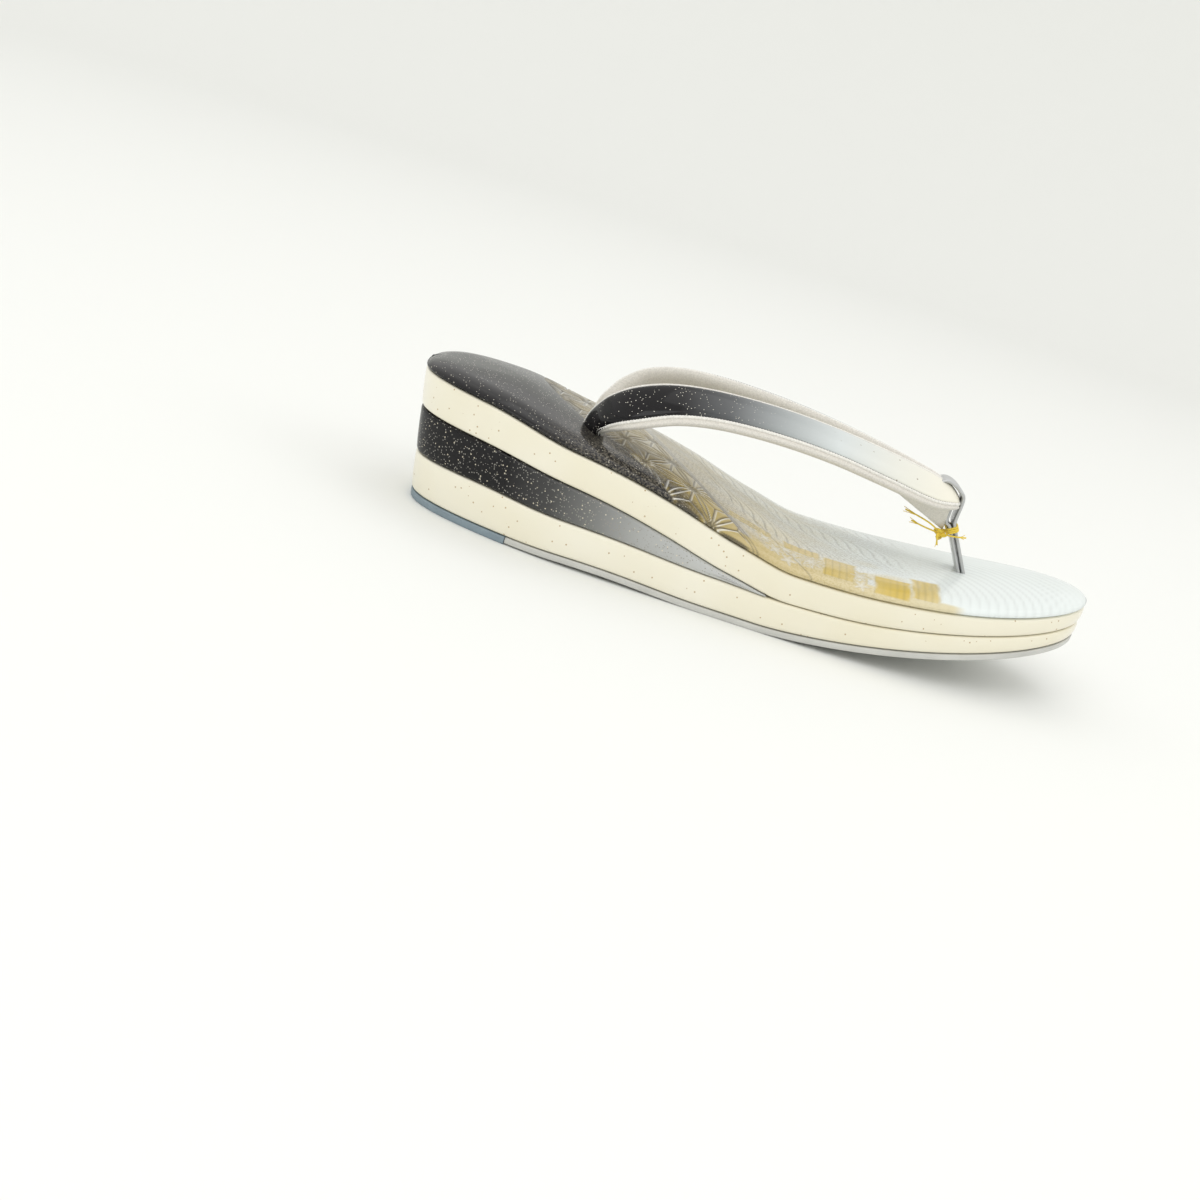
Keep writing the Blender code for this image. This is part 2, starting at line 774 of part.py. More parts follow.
def build():
    clear_scene()
    make_heel_lift()
    make_outsole()
    make_lower_layer()
    make_wedge()
    make_upper_layer()
    make_cushion()
    seat_form = make_seat_form()
    straps = make_straps(seat_form)
    make_toe_loop(seat_form, straps)
    make_thread_tie()


build()
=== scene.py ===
"""Dresses the kimono sandal: wrapped sole layers, embossed footbed, padded straps, toe loop, tie."""

import math

import bmesh
import bpy
import numpy as np
from mathutils import Matrix, Vector


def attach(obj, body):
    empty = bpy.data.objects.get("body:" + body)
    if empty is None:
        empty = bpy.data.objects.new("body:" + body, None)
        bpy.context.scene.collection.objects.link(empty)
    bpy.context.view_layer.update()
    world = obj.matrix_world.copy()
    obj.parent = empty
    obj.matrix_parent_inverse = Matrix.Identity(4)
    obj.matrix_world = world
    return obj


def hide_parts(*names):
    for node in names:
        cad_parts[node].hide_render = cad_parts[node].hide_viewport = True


bl_info = {
    "name": "Kimono sandal",
    "version": (1, 0, 0),
    "blender": (4, 5, 0),
    "location": "View3D > Sidebar > Sandal",
    "description": "Makes the visible pieces of a women's formal thong sandal and its stage",
    "category": "Object",
}

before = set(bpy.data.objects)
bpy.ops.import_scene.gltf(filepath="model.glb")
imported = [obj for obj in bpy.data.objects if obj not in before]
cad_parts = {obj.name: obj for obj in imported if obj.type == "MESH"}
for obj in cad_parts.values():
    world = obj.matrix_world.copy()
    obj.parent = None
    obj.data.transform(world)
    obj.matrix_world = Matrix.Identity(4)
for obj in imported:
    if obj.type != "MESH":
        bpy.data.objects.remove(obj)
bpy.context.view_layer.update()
BODY = "root"

# The sole's plan and side lines, in the sizes of the solids.
SOLE_LENGTH = 0.240
HALF_LENGTH = SOLE_LENGTH / 2
BALL_WIDTH = 0.0834
HEEL_ROUND_LENGTH = 0.120
TOE_ROUND_LENGTH = 0.101
HEEL_ROUND_POWERS = (3.0, 3.0)
TOE_ROUND_POWERS = (3.2, 2.1)
LIFT_LENGTH = 0.045
LIFT_PROUD = 0.0005
ARCH_RISE = 0.0009
BALL_START = 0.114
BALL_END = 0.133
TOE_SPRING = 0.023
TOE_SPRING_POWER = 1.57
OUTSOLE_THICKNESS = 0.0024
LOWER_HEEL_THICKNESS = 0.0137
WEDGE_HEEL_THICKNESS = 0.0157
WEDGE_LENGTH = 0.141
WEDGE_TIP_ROW = 0.59
WEDGE_TIP_SHARE = 0.05
UPPER_HEEL_THICKNESS = 0.0132
HEEL_RAKE = 0.14
SIDE_RAKE = 0.03
RAKE_LENGTH = 0.060
SEAM_GAP = 0.0003
LIFT_EDGE = 0.0005
CREAM_SWELL = 0.00015
WEDGE_SWELL = 0.0001
LAYER_STATIONS = 220
EDGE_STEPS = 4
EDGE_LIMIT = 0.45  # of a layer's thickness, where it thins out
END_STEP = 0.0002
LAYER_ROWS = np.array([
    # along, lower, wedge, upper
    (0.00, 0.985, 1.00, 1.00),
    (0.12, 1.01, 0.90, 0.96),
    (0.25, 0.87, 0.78, 0.84),
    (0.40, 0.79, 0.50, 0.83),
    (0.50, 0.76, 0.22, 0.78),
    (0.59, 0.70, 0.05, 0.73),
    (0.70, 0.57, 0.05, 0.67),
    (0.85, 0.46, 0.05, 0.52),
    (1.00, 0.35, 0.05, 0.43),
])

# The padded footbed.
CUSHION_EDGE_HEIGHT = 0.0037
CUSHION_ROLL_WIDTH = 0.0095
CUSHION_DOME = 0.0022
CUSHION_DOME_WIDTH = 0.034
FOOTBED_COLUMNS = 196
FOOTBED_SPANS = [(0.028, 0.166, 352), (0.166, 0.222, 72)]  # start, end, stations
FOOTBED_HEEL = (0.028, 34)  # length, stations
FOOTBED_TOE = (0.018, 26)

# The footbed's pattern: a lattice of hemp leaves between two swept boundaries, then gold
# blocks and small flowers along the outer edge, then the arcs of a fan at the toe.
LEAF_CENTRE = (-0.0205, -0.0270)
LEAF_SPACING = 0.0180
LEAF_PETAL = 0.0010
SWEEP_INNER = 0.030
SWEEP_SPAN = 0.070
LEAF_REAR = (-0.084, 0.056, 1.8)  # start, reach, power
LEAF_FRONT = (-0.045, 0.047, 1.6)
LEAF_LINE = 0.00060
BORDER_LINE = 0.00055
BORDER_STEPS = (0.0004, 0.0020, 0.0210)
BLOOM_START = 0.0024
BLOOM_REACH = 0.0150
BLOOM_PITCH = 0.0034
FINE_LINE = 0.00050
OPEN_END = 0.062
OPEN_INNER = 0.036
FAN_CENTRE = (0.046, -0.034)
FAN_PITCH = 0.0031
FAN_LINE = 0.0009
BAR_PITCH = 0.0024
BAR_LINE = 0.00045
FLOWER_LINE = 0.0006
FLOWER_REACH = 0.0012
# Painted highlights: thin pale lines set just beside the embossed leaf lines and on the flower
# outlines, standing in for light caught by the relief.
PAINTED_HIGHLIGHT_SHIFT = 0.00045
PAINTED_HIGHLIGHT_LINE = 0.0004
GOLD_BLOCKS = [
    # along, across, half length, half breadth, strength
    (0.0010, -0.0262, 0.0080, 0.0026, 0.7),
    (0.0200, -0.0258, 0.0065, 0.0030, 0.8),
    (0.0335, -0.0315, 0.0055, 0.0070, 0.9),
    (0.0515, -0.0345, 0.0060, 0.0060, 1.0),
    (0.0625, -0.0310, 0.0045, 0.0075, 0.9),
]
EDGE_FLOWERS = [
    # along, across, radius, petals
    (0.0070, -0.0300, 0.0027, 6),
    (0.0112, -0.0345, 0.0030, 6),
    (0.0160, -0.0372, 0.0028, 5),
    (0.0150, -0.0300, 0.0024, 6),
    (0.0236, -0.0322, 0.0047, 9),
    (0.0405, -0.0325, 0.0034, 6),
    (0.0412, -0.0385, 0.0024, 5),
]

# The straps' route and section.
ANCHOR_PLACE = 0.0625
NOSE_PLACE = 0.1843
STRAP_SPREAD = 0.0320
STRAP_RISE = 0.0350
STRAP_WIDTH = 0.0178
STRAP_THICKNESS = 0.0080
STRAP_OUTER_SHARE = 0.58
STRAP_STATIONS = 170
STRAP_ROWS = [
    # forward, outward, above, turn, lift, width, thickness
    (-0.012, 0.52, -0.300, -45.0, 5.0, 0.76, 0.76),
    (-0.005, 0.56, -0.100, -45.0, 14.0, 0.80, 0.80),
    (0.006, 0.63, 0.080, -42.0, 24.0, 0.88, 0.90),
    (0.030, 0.75, 0.230, -36.0, 34.0, 0.95, 0.98),
    (0.087, 0.85, 0.410, -22.0, 46.0, 1.00, 1.00),
    (0.186, 0.81, 0.605, -2.0, 58.0, 1.00, 1.00),
    (0.310, 0.70, 0.760, 10.0, 63.0, 1.00, 1.00),
    (0.475, 0.56, 0.912, 12.0, 64.0, 1.00, 1.00),
    (0.640, 0.46, 0.978, 12.0, 65.0, 1.00, 1.00),
    (0.789, 0.375, 0.898, 15.0, 63.0, 0.98, 0.96),
    (0.900, 0.285, 0.805, 24.0, 59.0, 0.92, 0.88),
    (0.955, 0.215, 0.760, 38.0, 56.0, 0.80, 0.78),
    (0.988, 0.135, 0.742, 70.0, 53.0, 0.65, 0.70),
    (0.996, 0.000, 0.737, 90.0, 52.0, 0.54, 0.68),
]
ROOT_START = 0.10
ROOT_LENGTH = 0.27
ROOT_UPPER = 0.80
ROOT_LOWER = 0.84
PIPING_TUCK = 0.82
LINING_TUCK = 0.58
LOOP_OVER_NOSE = 0.45
ENAMEL_UPPER = 0.85
ENAMEL_LOWER = 0.71
ENAMEL_EDGE = 0.20
ENAMEL_BULGE = 0.22
# Radius of the thin dark tube at the enamel's edges, painted shade in the gap before the piping; the
# upper one is thinner.
SHADE_LINE_RADIUS = 0.00034
LINING_PROUD = 1.02
LINING_DEPTH = 0.52
LINING_SHOULDERS = [(-0.96, 0.12), (-0.84, 0.15), (0.80, 0.16), (0.96, 0.15)]
PIPING_PROUD = 0.055
PIPING_OUT = 0.185
PIPING_RIB = 0.12
WEB_START = 0.700
WEB_THICKNESS = 0.0016
WEB_STOP = 0.0036
WEB_REACH = 0.0056
WEB_BEHIND = 0.0034
WEB_ASIDE = 0.0012
WEB_OVER_TIE = 0.0004
WEB_STATIONS = 60
WEB_LOW = 0.42  # of the strap's width, below its middle
WEB_HIGH = 0.36
WEB_HASTE = 1.25
WEB_GATHER = 0.00035
WEB_GATHER_TURN = 30.0

# The toe loop and its tie.
LOOP_WIDTH = 0.0098
LOOP_LEG_WIDTH = 0.0090
LOOP_THICKNESS = 0.0013
THONG_PLACE = 0.1963
TIE_PLACE = 0.1887
TIE_HEIGHT = 0.0140
LOOP_ABOVE_TIE = 0.00135
LOOP_ANGLES = (-128, -95, -62, -30, 0, 30, 62, 95, 128)
STRIP_STATIONS = 150
STRIP_LEG_STATIONS = 12
STRIP_EASE = 50
STRIP_RING = [
    # shares of the half width across and of the half thickness outward
    (1.0, -0.4), (1.0, 0.4), (0.93, 0.85), (0.7, 1.0), (0.0, 1.0), (-0.7, 1.0), (-0.93, 0.85),
    (-1.0, 0.4), (-1.0, -0.4), (-0.93, -0.85), (-0.7, -1.0), (0.0, -1.0), (0.7, -1.0),
    (0.93, -0.85),
]
THREAD_TURNS = 3
WINDING_STEPS = 48
WINDING_SQUARENESS = 0.45
KNOT_BEHIND = 0.0028
KNOT_ASIDE = np.array([0.0, -0.0030, -0.0004])
KNOT_SIZES = (0.0030, 0.0017)
KNOT_STEPS = 72
FRAYED_POINTS = 9
THREAD_ENDS = [
    # the path of each end from the knot: along, across, up
    [(0, 0, 0), (-0.0040, -0.0008, 0.0022), (-0.0090, -0.0012, 0.0036), (-0.0143, -0.0015, 0.0046)],
    [(0, 0, 0), (-0.0040, -0.0002, 0.0003), (-0.0075, -0.0006, 0.0008), (-0.0110, -0.0005, 0.0014)],
    [(0, 0, 0), (0.0030, -0.0022, 0.0006), (0.0060, -0.0026, 0.0012), (0.0084, -0.0020, 0.0016)],
    [(0, 0, 0), (-0.0006, -0.001, -0.0012), (-0.0004, -0.0012, -0.0026), (0.0002, -0.001, -0.004)],
]

# The photograph's camera, solved from the sole's edges.
CAMERA_PLACE = Vector((-0.0288, -0.5364, 0.1464))
CAMERA_FORWARD = Vector((-0.0182, 0.9555, -0.2943))
CAMERA_UP = Vector((-0.3103, 0.2744, 0.9102))
CAMERA_FOCAL_PX = 1571.1
PHOTO_PX = 1200
SENSOR_WIDTH = 36.0

# The backdrop: a round floor whose rim curves up into a low wall, so that no horizon shows.
BACKDROP_FLAT = 1.80
BACKDROP_CURVE = 0.80
BACKDROP_HEIGHT = 1.00
BACKDROP_THICKNESS = 0.02
SOFT_LIGHTS = [
    # name, place, size, power
    ("key_softbox", (-0.45, -1.20, 1.15), 1.10, 5.2),
    ("top_softbox", (0.15, 0.40, 1.60), 1.10, 2.4),
    ("side_softbox", (1.30, -0.40, 1.00), 0.80, 2.0),
]
LIGHT_TARGET = Vector((0.0, 0.0, 0.03))


class SandalSizes(bpy.types.PropertyGroup):
    """Sizes of the dressed pieces that don't change the frame."""

    wall_edge: bpy.props.FloatProperty(
        name="Wall edge", description="Radius of the wrapped layers' edges", default=0.0011,
        min=0.0003, max=0.002, unit="LENGTH",
    )
    piping_diameter: bpy.props.FloatProperty(
        name="Piping", description="Diameter of the ribbed piping on the straps", default=0.0011,
        min=0.0006, max=0.003, unit="LENGTH",
    )
    piping_pitch: bpy.props.FloatProperty(
        name="Piping pitch", description="Distance between two ribs of the piping", default=0.0010,
        min=0.0006, max=0.003, unit="LENGTH",
    )
    relief: bpy.props.FloatProperty(
        name="Relief", description="Depth of the embossed lines in the footbed", default=0.00032,
        min=0.0, max=0.001, unit="LENGTH",
    )
    thread_diameter: bpy.props.FloatProperty(
        name="Thread", description="Diameter of the tie's thread", default=0.0007,
        min=0.0003, max=0.0015, unit="LENGTH",
    )


class SandalColours(bpy.types.PropertyGroup):
    """Colours of the finishes."""

    cream: bpy.props.FloatVectorProperty(
        name="Cream", description="Cream enamel of the wrapped layers", subtype="COLOR",
        default=(0.86, 0.825, 0.70), min=0.0, max=1.0,
    )
    black: bpy.props.FloatVectorProperty(
        name="Black", description="Dark end of the shaded enamel", subtype="COLOR",
        default=(0.0065, 0.006, 0.007), min=0.0, max=1.0,
    )
    silver: bpy.props.FloatVectorProperty(
        name="Silver", description="Pale end of the wedge's shaded enamel", subtype="COLOR",
        default=(0.56, 0.57, 0.56), min=0.0, max=1.0,
    )
    pearl: bpy.props.FloatVectorProperty(
        name="Pearl", description="Pale end of the footbed", subtype="COLOR",
        default=(0.76, 0.81, 0.80), min=0.0, max=1.0,
    )
    gold: bpy.props.FloatVectorProperty(
        name="Gold", description="Gilding of the footbed", subtype="COLOR",
        default=(0.60, 0.44, 0.085), min=0.0, max=1.0,
    )
    lining: bpy.props.FloatVectorProperty(
        name="Lining", description="Cloth lining of the straps", subtype="COLOR",
        default=(0.74, 0.71, 0.65), min=0.0, max=1.0,
    )
    thread: bpy.props.FloatVectorProperty(
        name="Thread", description="Gold thread of the tie", subtype="COLOR",
        default=(0.90, 0.66, 0.07), min=0.0, max=1.0,
    )


# Side lines and plan.


def smooth_column(rows, column, at):
    """The column's value along the rows, on a curve that never overshoots them."""
    places, values = rows[:, 0], rows[:, column]
    steps = np.diff(places)
    slopes = np.diff(values) / steps
    tangents = np.empty(len(rows))
    tangents[0], tangents[-1] = slopes[0], slopes[-1]
    for i in range(1, len(rows) - 1):
        if slopes[i - 1] * slopes[i] <= 0:
            tangents[i] = 0.0
        else:
            before, after = steps[i - 1], steps[i]
            tangents[i] = 3 * (before + after) / (
                (2 * after + before) / slopes[i - 1] + (after + 2 * before) / slopes[i]
            )
    at = np.clip(at, places[0], places[-1])
    index = np.clip(np.searchsorted(places, at, side="right") - 1, 0, len(rows) - 2)
    span = steps[index]
    t = (at - places[index]) / span
    start, end = tangents[index] * span, tangents[index + 1] * span
    return (
        values[index] * (1 + 2 * t) * (1 - t) ** 2
        + start * t * (1 - t) ** 2
        + values[index + 1] * t * t * (3 - 2 * t)
        + end * t * t * (t - 1)
    )


def half_width(along):
    """Half the width of the rim at distances from the heel's back."""
    along = np.asarray(along, float)
    heel = np.clip(1 - along / HEEL_ROUND_LENGTH, 0, 1)
    toe = np.clip(1 - (SOLE_LENGTH - along) / TOE_ROUND_LENGTH, 0, 1)
    heel_part = (1 - heel ** HEEL_ROUND_POWERS[0]) ** (1 / HEEL_ROUND_POWERS[1])
    toe_part = (1 - toe ** TOE_ROUND_POWERS[0]) ** (1 / TOE_ROUND_POWERS[1])
    return BALL_WIDTH / 2 * np.minimum(heel_part, toe_part)


def bottom(along):
    """Height of the underside over the floor: lift, arch, ball and toe spring."""
    along = np.asarray(along, float)
    spring = np.clip((along - BALL_END) / (SOLE_LENGTH - BALL_END), 0, 1)
    share = np.clip((along - LIFT_LENGTH) / (BALL_START - LIFT_LENGTH), 0, 1)
    return (
        TOE_SPRING * spring**TOE_SPRING_POWER
        + LIFT_PROUD * (1 - share)
        + ARCH_RISE * np.sin(math.pi * share) ** 2
    )


def lower_base(along):
    return bottom(along) + OUTSOLE_THICKNESS


def wedge_base(along):
    share = np.asarray(along, float) / SOLE_LENGTH
    return lower_base(along) + LOWER_HEEL_THICKNESS * smooth_column(LAYER_ROWS, 1, share)


def wedge_room(along):
    share = np.minimum(np.asarray(along, float) / WEDGE_LENGTH, 1) * WEDGE_TIP_ROW
    value = smooth_column(LAYER_ROWS, 2, share)
    return WEDGE_HEEL_THICKNESS * (value - WEDGE_TIP_SHARE) / (1 - WEDGE_TIP_SHARE)


def upper_base(along):
    return wedge_base(along) + wedge_room(along)


def rim(along):
    share = np.asarray(along, float) / SOLE_LENGTH
    return upper_base(along) + UPPER_HEEL_THICKNESS * smooth_column(LAYER_ROWS, 3, share)


def wall_rake(along):
    share = np.minimum(1.0, np.asarray(along, float) / RAKE_LENGTH)
    return HEEL_RAKE + (SIDE_RAKE - HEEL_RAKE) * share


def outline(along):
    """Points of the rim's outline on the +Y side, and the outward direction at each."""
    reach = 0.0002
    before, after = np.maximum(0, along - reach), np.minimum(SOLE_LENGTH, along + reach)
    run = np.stack([after - before, half_width(after) - half_width(before)], -1)
    run /= np.linalg.norm(run, axis=-1, keepdims=True)
    width = half_width(along)
    outward = np.stack([-run[..., 1], run[..., 0]], -1)
    outward[width == 0] = (0.0, 0.0)
    outward[(width == 0) & (along < HALF_LENGTH)] = (-1.0, 0.0)
    outward[(width == 0) & (along > HALF_LENGTH)] = (1.0, 0.0)
    return np.stack([along, width], -1), outward


def spaced(start, end, count):
    """Places along the sole, close together where an end is round."""
    first, last = (math.acos(1 - 2 * at / SOLE_LENGTH) for at in (start, end))
    places = SOLE_LENGTH * (1 - np.cos(np.linspace(first, last, count + 1))) / 2
    places[0], places[-1] = start, end
    return places


# Meshes.


def finished(name, bm, material):
    """A smooth object from a bmesh, with its faces pointing outwards."""
    bmesh.ops.recalc_face_normals(bm, faces=bm.faces)
    mesh = bpy.data.meshes.new(name)
    bm.to_mesh(mesh)
    bm.free()
    mesh.shade_smooth()
    mesh.materials.append(material)
    obj = bpy.data.objects.new(name, mesh)
    bpy.context.scene.collection.objects.link(obj)
    return obj


def loft_bmesh(sections):
    """One closed skin through rings that all have the same number of points."""
    rows = np.asarray(sections, float)
    count, ring = rows.shape[:2]
    bm = bmesh.new()
    bmesh.ops.create_grid(bm, x_segments=count - 1, y_segments=ring, size=1.0)
    mesh = bpy.data.meshes.new("loft")
    bm.to_mesh(mesh)
    bm.clear()
    flat = np.empty(len(mesh.vertices) * 3, np.float32)
    mesh.vertices.foreach_get("co", flat)
    grid = np.round(flat.reshape(-1, 3), 5)
    order = np.lexsort((grid[:, 1], grid[:, 0]))
    placed = np.empty((len(order), 3), np.float32)
    placed[order] = np.concatenate([rows, rows[:, :1]], axis=1).reshape(-1, 3)
    mesh.vertices.foreach_set("co", placed.ravel())
    bm.from_mesh(mesh)
    bpy.data.meshes.remove(mesh)
    bmesh.ops.remove_doubles(bm, verts=bm.verts, dist=1e-7)
    bmesh.ops.dissolve_degenerate(bm, edges=bm.edges, dist=1e-7)
    bmesh.ops.holes_fill(bm, edges=bm.edges, sides=0)
    bmesh.ops.triangulate(bm, faces=[f for f in bm.faces if len(f.verts) > 4])
    return bm


def loft(name, sections, material):
    return finished(name, loft_bmesh(sections), material)


def tube_rings(points, radius, sides):
    """Rings round a path; radius is one size or a size for each point."""
    points = np.asarray(points, float)
    radius = np.broadcast_to(np.asarray(radius, float), (len(points),))
    run = np.gradient(points, axis=0)
    run /= np.linalg.norm(run, axis=1, keepdims=True)
    side = np.cross(run[0], (0.0, 0.0, 1.0))
    if np.linalg.norm(side) < 1e-3:
        side = np.cross(run[0], (0.0, 1.0, 0.0))
    angles = np.linspace(0, 2 * math.pi, sides, endpoint=False)
    rings = []
    for point, way, size in zip(points, run, radius):
        side = side - way * np.dot(side, way)
        side /= np.linalg.norm(side)
        up = np.cross(side, way)
        rings.append(
            point + size * (np.cos(angles)[:, None] * side + np.sin(angles)[:, None] * up)
        )
    return rings


def curve_through(points, count):
    """A smooth open curve through the points, as count places evenly by point."""
    points = np.asarray(points, float)
    at = np.linspace(0, len(points) - 1, count)
    index = np.minimum(at.astype(int), len(points) - 2)
    u = (at - index)[:, None]
    padded = np.concatenate([points[:1], points, points[-1:]])
    p0, p1, p2, p3 = (padded[index + k] for k in range(4))
    return 0.5 * (
        2 * p1 + (p2 - p0) * u + (2 * p0 - 5 * p1 + 4 * p2 - p3) * u**2
        + (3 * p1 - p0 - 3 * p2 + p3) * u**3
    )


def joined(name, parts, material):
    """Several skins in one mesh."""
    bm = bmesh.new()
    for part in parts:
        mesh = bpy.data.meshes.new("part")
        part.to_mesh(mesh)
        part.free()
        bm.from_mesh(mesh)
        bpy.data.meshes.remove(mesh)
    return finished(name, bm, material)


def dress(obj, slot, *nodes):
    """Attaches a piece to its body and hides the solids that it stands for; the slot for its finish is
    not used.
    """
    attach(obj, BODY)
    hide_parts(*nodes)
    return obj


# Finishes.


class Finish:
    """A Principled material with short calls for the nodes that its colour and relief need."""

    def __init__(
        self, name, roughness=0.4, coat=0.0, coat_roughness=0.06, metallic=0.0, sheen=0.0,
        specular=0.5,
    ):
        self.material = bpy.data.materials.new(name)
        self.material.use_nodes = True
        self.tree = self.material.node_tree
        self.shader = self.tree.nodes["Principled BSDF"]
        for socket, value in (
            ("Roughness", roughness), ("Coat Weight", coat), ("Coat Roughness", coat_roughness),
            ("Metallic", metallic), ("Sheen Weight", sheen), ("Specular IOR Level", specular),
        ):
            self.shader.inputs[socket].default_value = value
        self.coordinates = None

    def add(self, kind, **values):
        node = self.tree.nodes.new(kind)
        for name, value in values.items():
            setattr(node, name, value)
        return node

    def wire(self, source, target):
        self.tree.links.new(source, target)

    def place(self):
        if self.coordinates is None:
            self.coordinates = self.add("ShaderNodeTexCoord").outputs["Object"]
        return self.coordinates

    def along(self, axis, start, end):
        """0 to 1 as the place goes from start to end on an axis."""
        split = self.add("ShaderNodeSeparateXYZ")
        self.wire(self.place(), split.inputs[0])
        span = self.add("ShaderNodeMapRange")
        self.wire(split.outputs[axis], span.inputs["Value"])
        span.inputs["From Min"].default_value = start
        span.inputs["From Max"].default_value = end
        return span.outputs["Result"]

    def attribute(self, name):
        return self.add("ShaderNodeAttribute", attribute_name=name).outputs["Fac"]

    def ramp(self, value, stops):
        node = self.add("ShaderNodeValToRGB")
        self.wire(value, node.inputs["Fac"])
        elements = node.color_ramp.elements
        while len(elements) < len(stops):
            elements.new(0.5)
        for element, (place, colour) in zip(elements, stops):
            element.position = place
            element.color = (*colour, 1.0)
        return node.outputs["Color"]

    def noise(self, scale, detail=2.0):
        node = self.add("ShaderNodeTexNoise")
        self.wire(self.place(), node.inputs["Vector"])
        node.inputs["Scale"].default_value = scale
        node.inputs["Detail"].default_value = detail
        return node.outputs["Fac"]

    def maths(self, operation, first, second):
        node = self.add("ShaderNodeMath", operation=operation, use_clamp=True)
        for socket, value in zip(node.inputs, (first, second)):
            if isinstance(value, (int, float)):
                socket.default_value = value
            else:
                self.wire(value, socket)
        return node.outputs[0]

    def specks(self, scale, size, share):
        """Round flecks in a share of the cells, as wide as size cells."""
        cells = self.add("ShaderNodeTexVoronoi")
        self.wire(self.place(), cells.inputs["Vector"])
        cells.inputs["Scale"].default_value = scale
        split = self.add("ShaderNodeSeparateColor")
        self.wire(cells.outputs["Color"], split.inputs[0])
        chosen = self.maths("GREATER_THAN", split.outputs[0], 1.0 - share)
        near = self.maths("LESS_THAN", cells.outputs["Distance"], size)
        return self.maths("MULTIPLY", chosen, near)

    def mixed(self, share, first, second):
        node = self.add("ShaderNodeMix", data_type="RGBA")
        for index, value in ((0, share), (6, first), (7, second)):
            socket = node.inputs[index]
            if isinstance(value, (int, float)):
                socket.default_value = value
            elif isinstance(value, bpy.types.NodeSocket):
                self.wire(value, socket)
            else:
                socket.default_value = (*value, 1.0)
        return node.outputs[2]

    def colour(self, value):
        if isinstance(value, bpy.types.NodeSocket):
            self.wire(value, self.shader.inputs["Base Color"])
        else:
            self.shader.inputs["Base Color"].default_value = (*value, 1.0)
        return self

    def bump(self, height, distance):
        node = self.add("ShaderNodeBump")
        self.wire(height, node.inputs["Height"])
        node.inputs["Distance"].default_value = distance
        self.wire(node.outputs["Normal"], self.shader.inputs["Normal"])
        return self


def cream_finish(name):
    """Cream enamel: a slow cloudiness and a few tiny brown specks under a clear coat."""
    colours = bpy.context.scene.sandal_colours
    finish = Finish(name, roughness=0.34, coat=0.5, coat_roughness=0.10, specular=0.3)
    cream = tuple(colours.cream)
    warm = tuple(c * k for c, k in zip(cream, (0.95, 0.93, 0.86)))
    cloudy = finish.ramp(finish.noise(28.0), [(0.35, cream), (0.75, warm)])
    speckled = finish.mixed(finish.specks(430.0, 0.13, 0.45), cloudy, (0.52, 0.40, 0.24))
    finish.colour(speckled)
    return finish.bump(finish.noise(160.0), 0.00006).material


def wedge_finish():
    """Black enamel that shades to silver towards the tip, full of small bright flecks."""
    colours = bpy.context.scene.sandal_colours
    finish = Finish(
        "wedge_shaded_enamel", roughness=0.40, coat=0.55, coat_roughness=0.06, specular=0.0,
    )
    black, silver = tuple(colours.black), tuple(colours.silver)
    grey, pale = (tuple(k * s for s in silver) for k in (0.32, 0.75))
    shade = finish.ramp(
        finish.along(0, -0.120, 0.021),
        [
            (0.0, black), (0.28, black), (0.40, (0.06, 0.06, 0.06)), (0.50, grey), (0.64, pale),
            (0.85, silver),
        ],
    )
    fine = finish.mixed(finish.specks(1300.0, 0.26, 0.6), shade, (0.30, 0.29, 0.26))
    bright = finish.mixed(finish.specks(760.0, 0.17, 0.45), fine, (0.66, 0.60, 0.47))
    finish.colour(bright)
    return finish.bump(finish.noise(120.0), 0.00005).material


def footbed_finish():
    """The footbed's shaded enamel, with its embossed lines, gilding and painted highlights read from
    the mesh.
    """
    colours = bpy.context.scene.sandal_colours
    finish = Finish(
        "footbed_shaded_enamel", roughness=0.38, coat=0.6, coat_roughness=0.08, specular=0.05,
    )
    black, pearl = tuple(colours.black), tuple(colours.pearl)
    shade = finish.ramp(
        finish.attribute("pale"),
        [
            (0.0, black), (0.13, (0.03, 0.03, 0.032)), (0.28, (0.24, 0.23, 0.205)),
            (0.50, (0.58, 0.56, 0.50)), (0.75, (0.72, 0.73, 0.69)), (1.0, pearl),
        ],
    )
    grain = finish.ramp(finish.noise(1500.0, 1.0), [(0.44, (0, 0, 0)), (0.62, (0.42, 0.42, 0.42))])
    before_toe = finish.maths("SUBTRACT", 1.0, finish.along(0, 0.030, 0.075))
    patterned = finish.maths("MULTIPLY", finish.along(0, -0.075, -0.050), before_toe)
    grained = finish.mixed(finish.maths("MULTIPLY", grain, patterned), shade, (0.30, 0.27, 0.21))
    gilded = finish.mixed(finish.attribute("gilding"), grained, tuple(colours.gold))
    inked = finish.mixed(finish.attribute("ink"), gilded, (0.075, 0.068, 0.055))
    # Painted highlight: a near-white line mixed into the colour beside the embossed lines and on the
    # flower outlines.
    with_painted_highlights = finish.mixed(finish.attribute("painted_highlight"), inked, (0.80, 0.80, 0.76))
    specks = finish.maths("MULTIPLY", finish.specks(1000.0, 0.17, 0.7), finish.attribute("flecked"))
    finish.colour(finish.mixed(specks, with_painted_highlights, (0.50, 0.47, 0.40)))
    return finish.bump(finish.noise(300.0), 0.00004).material


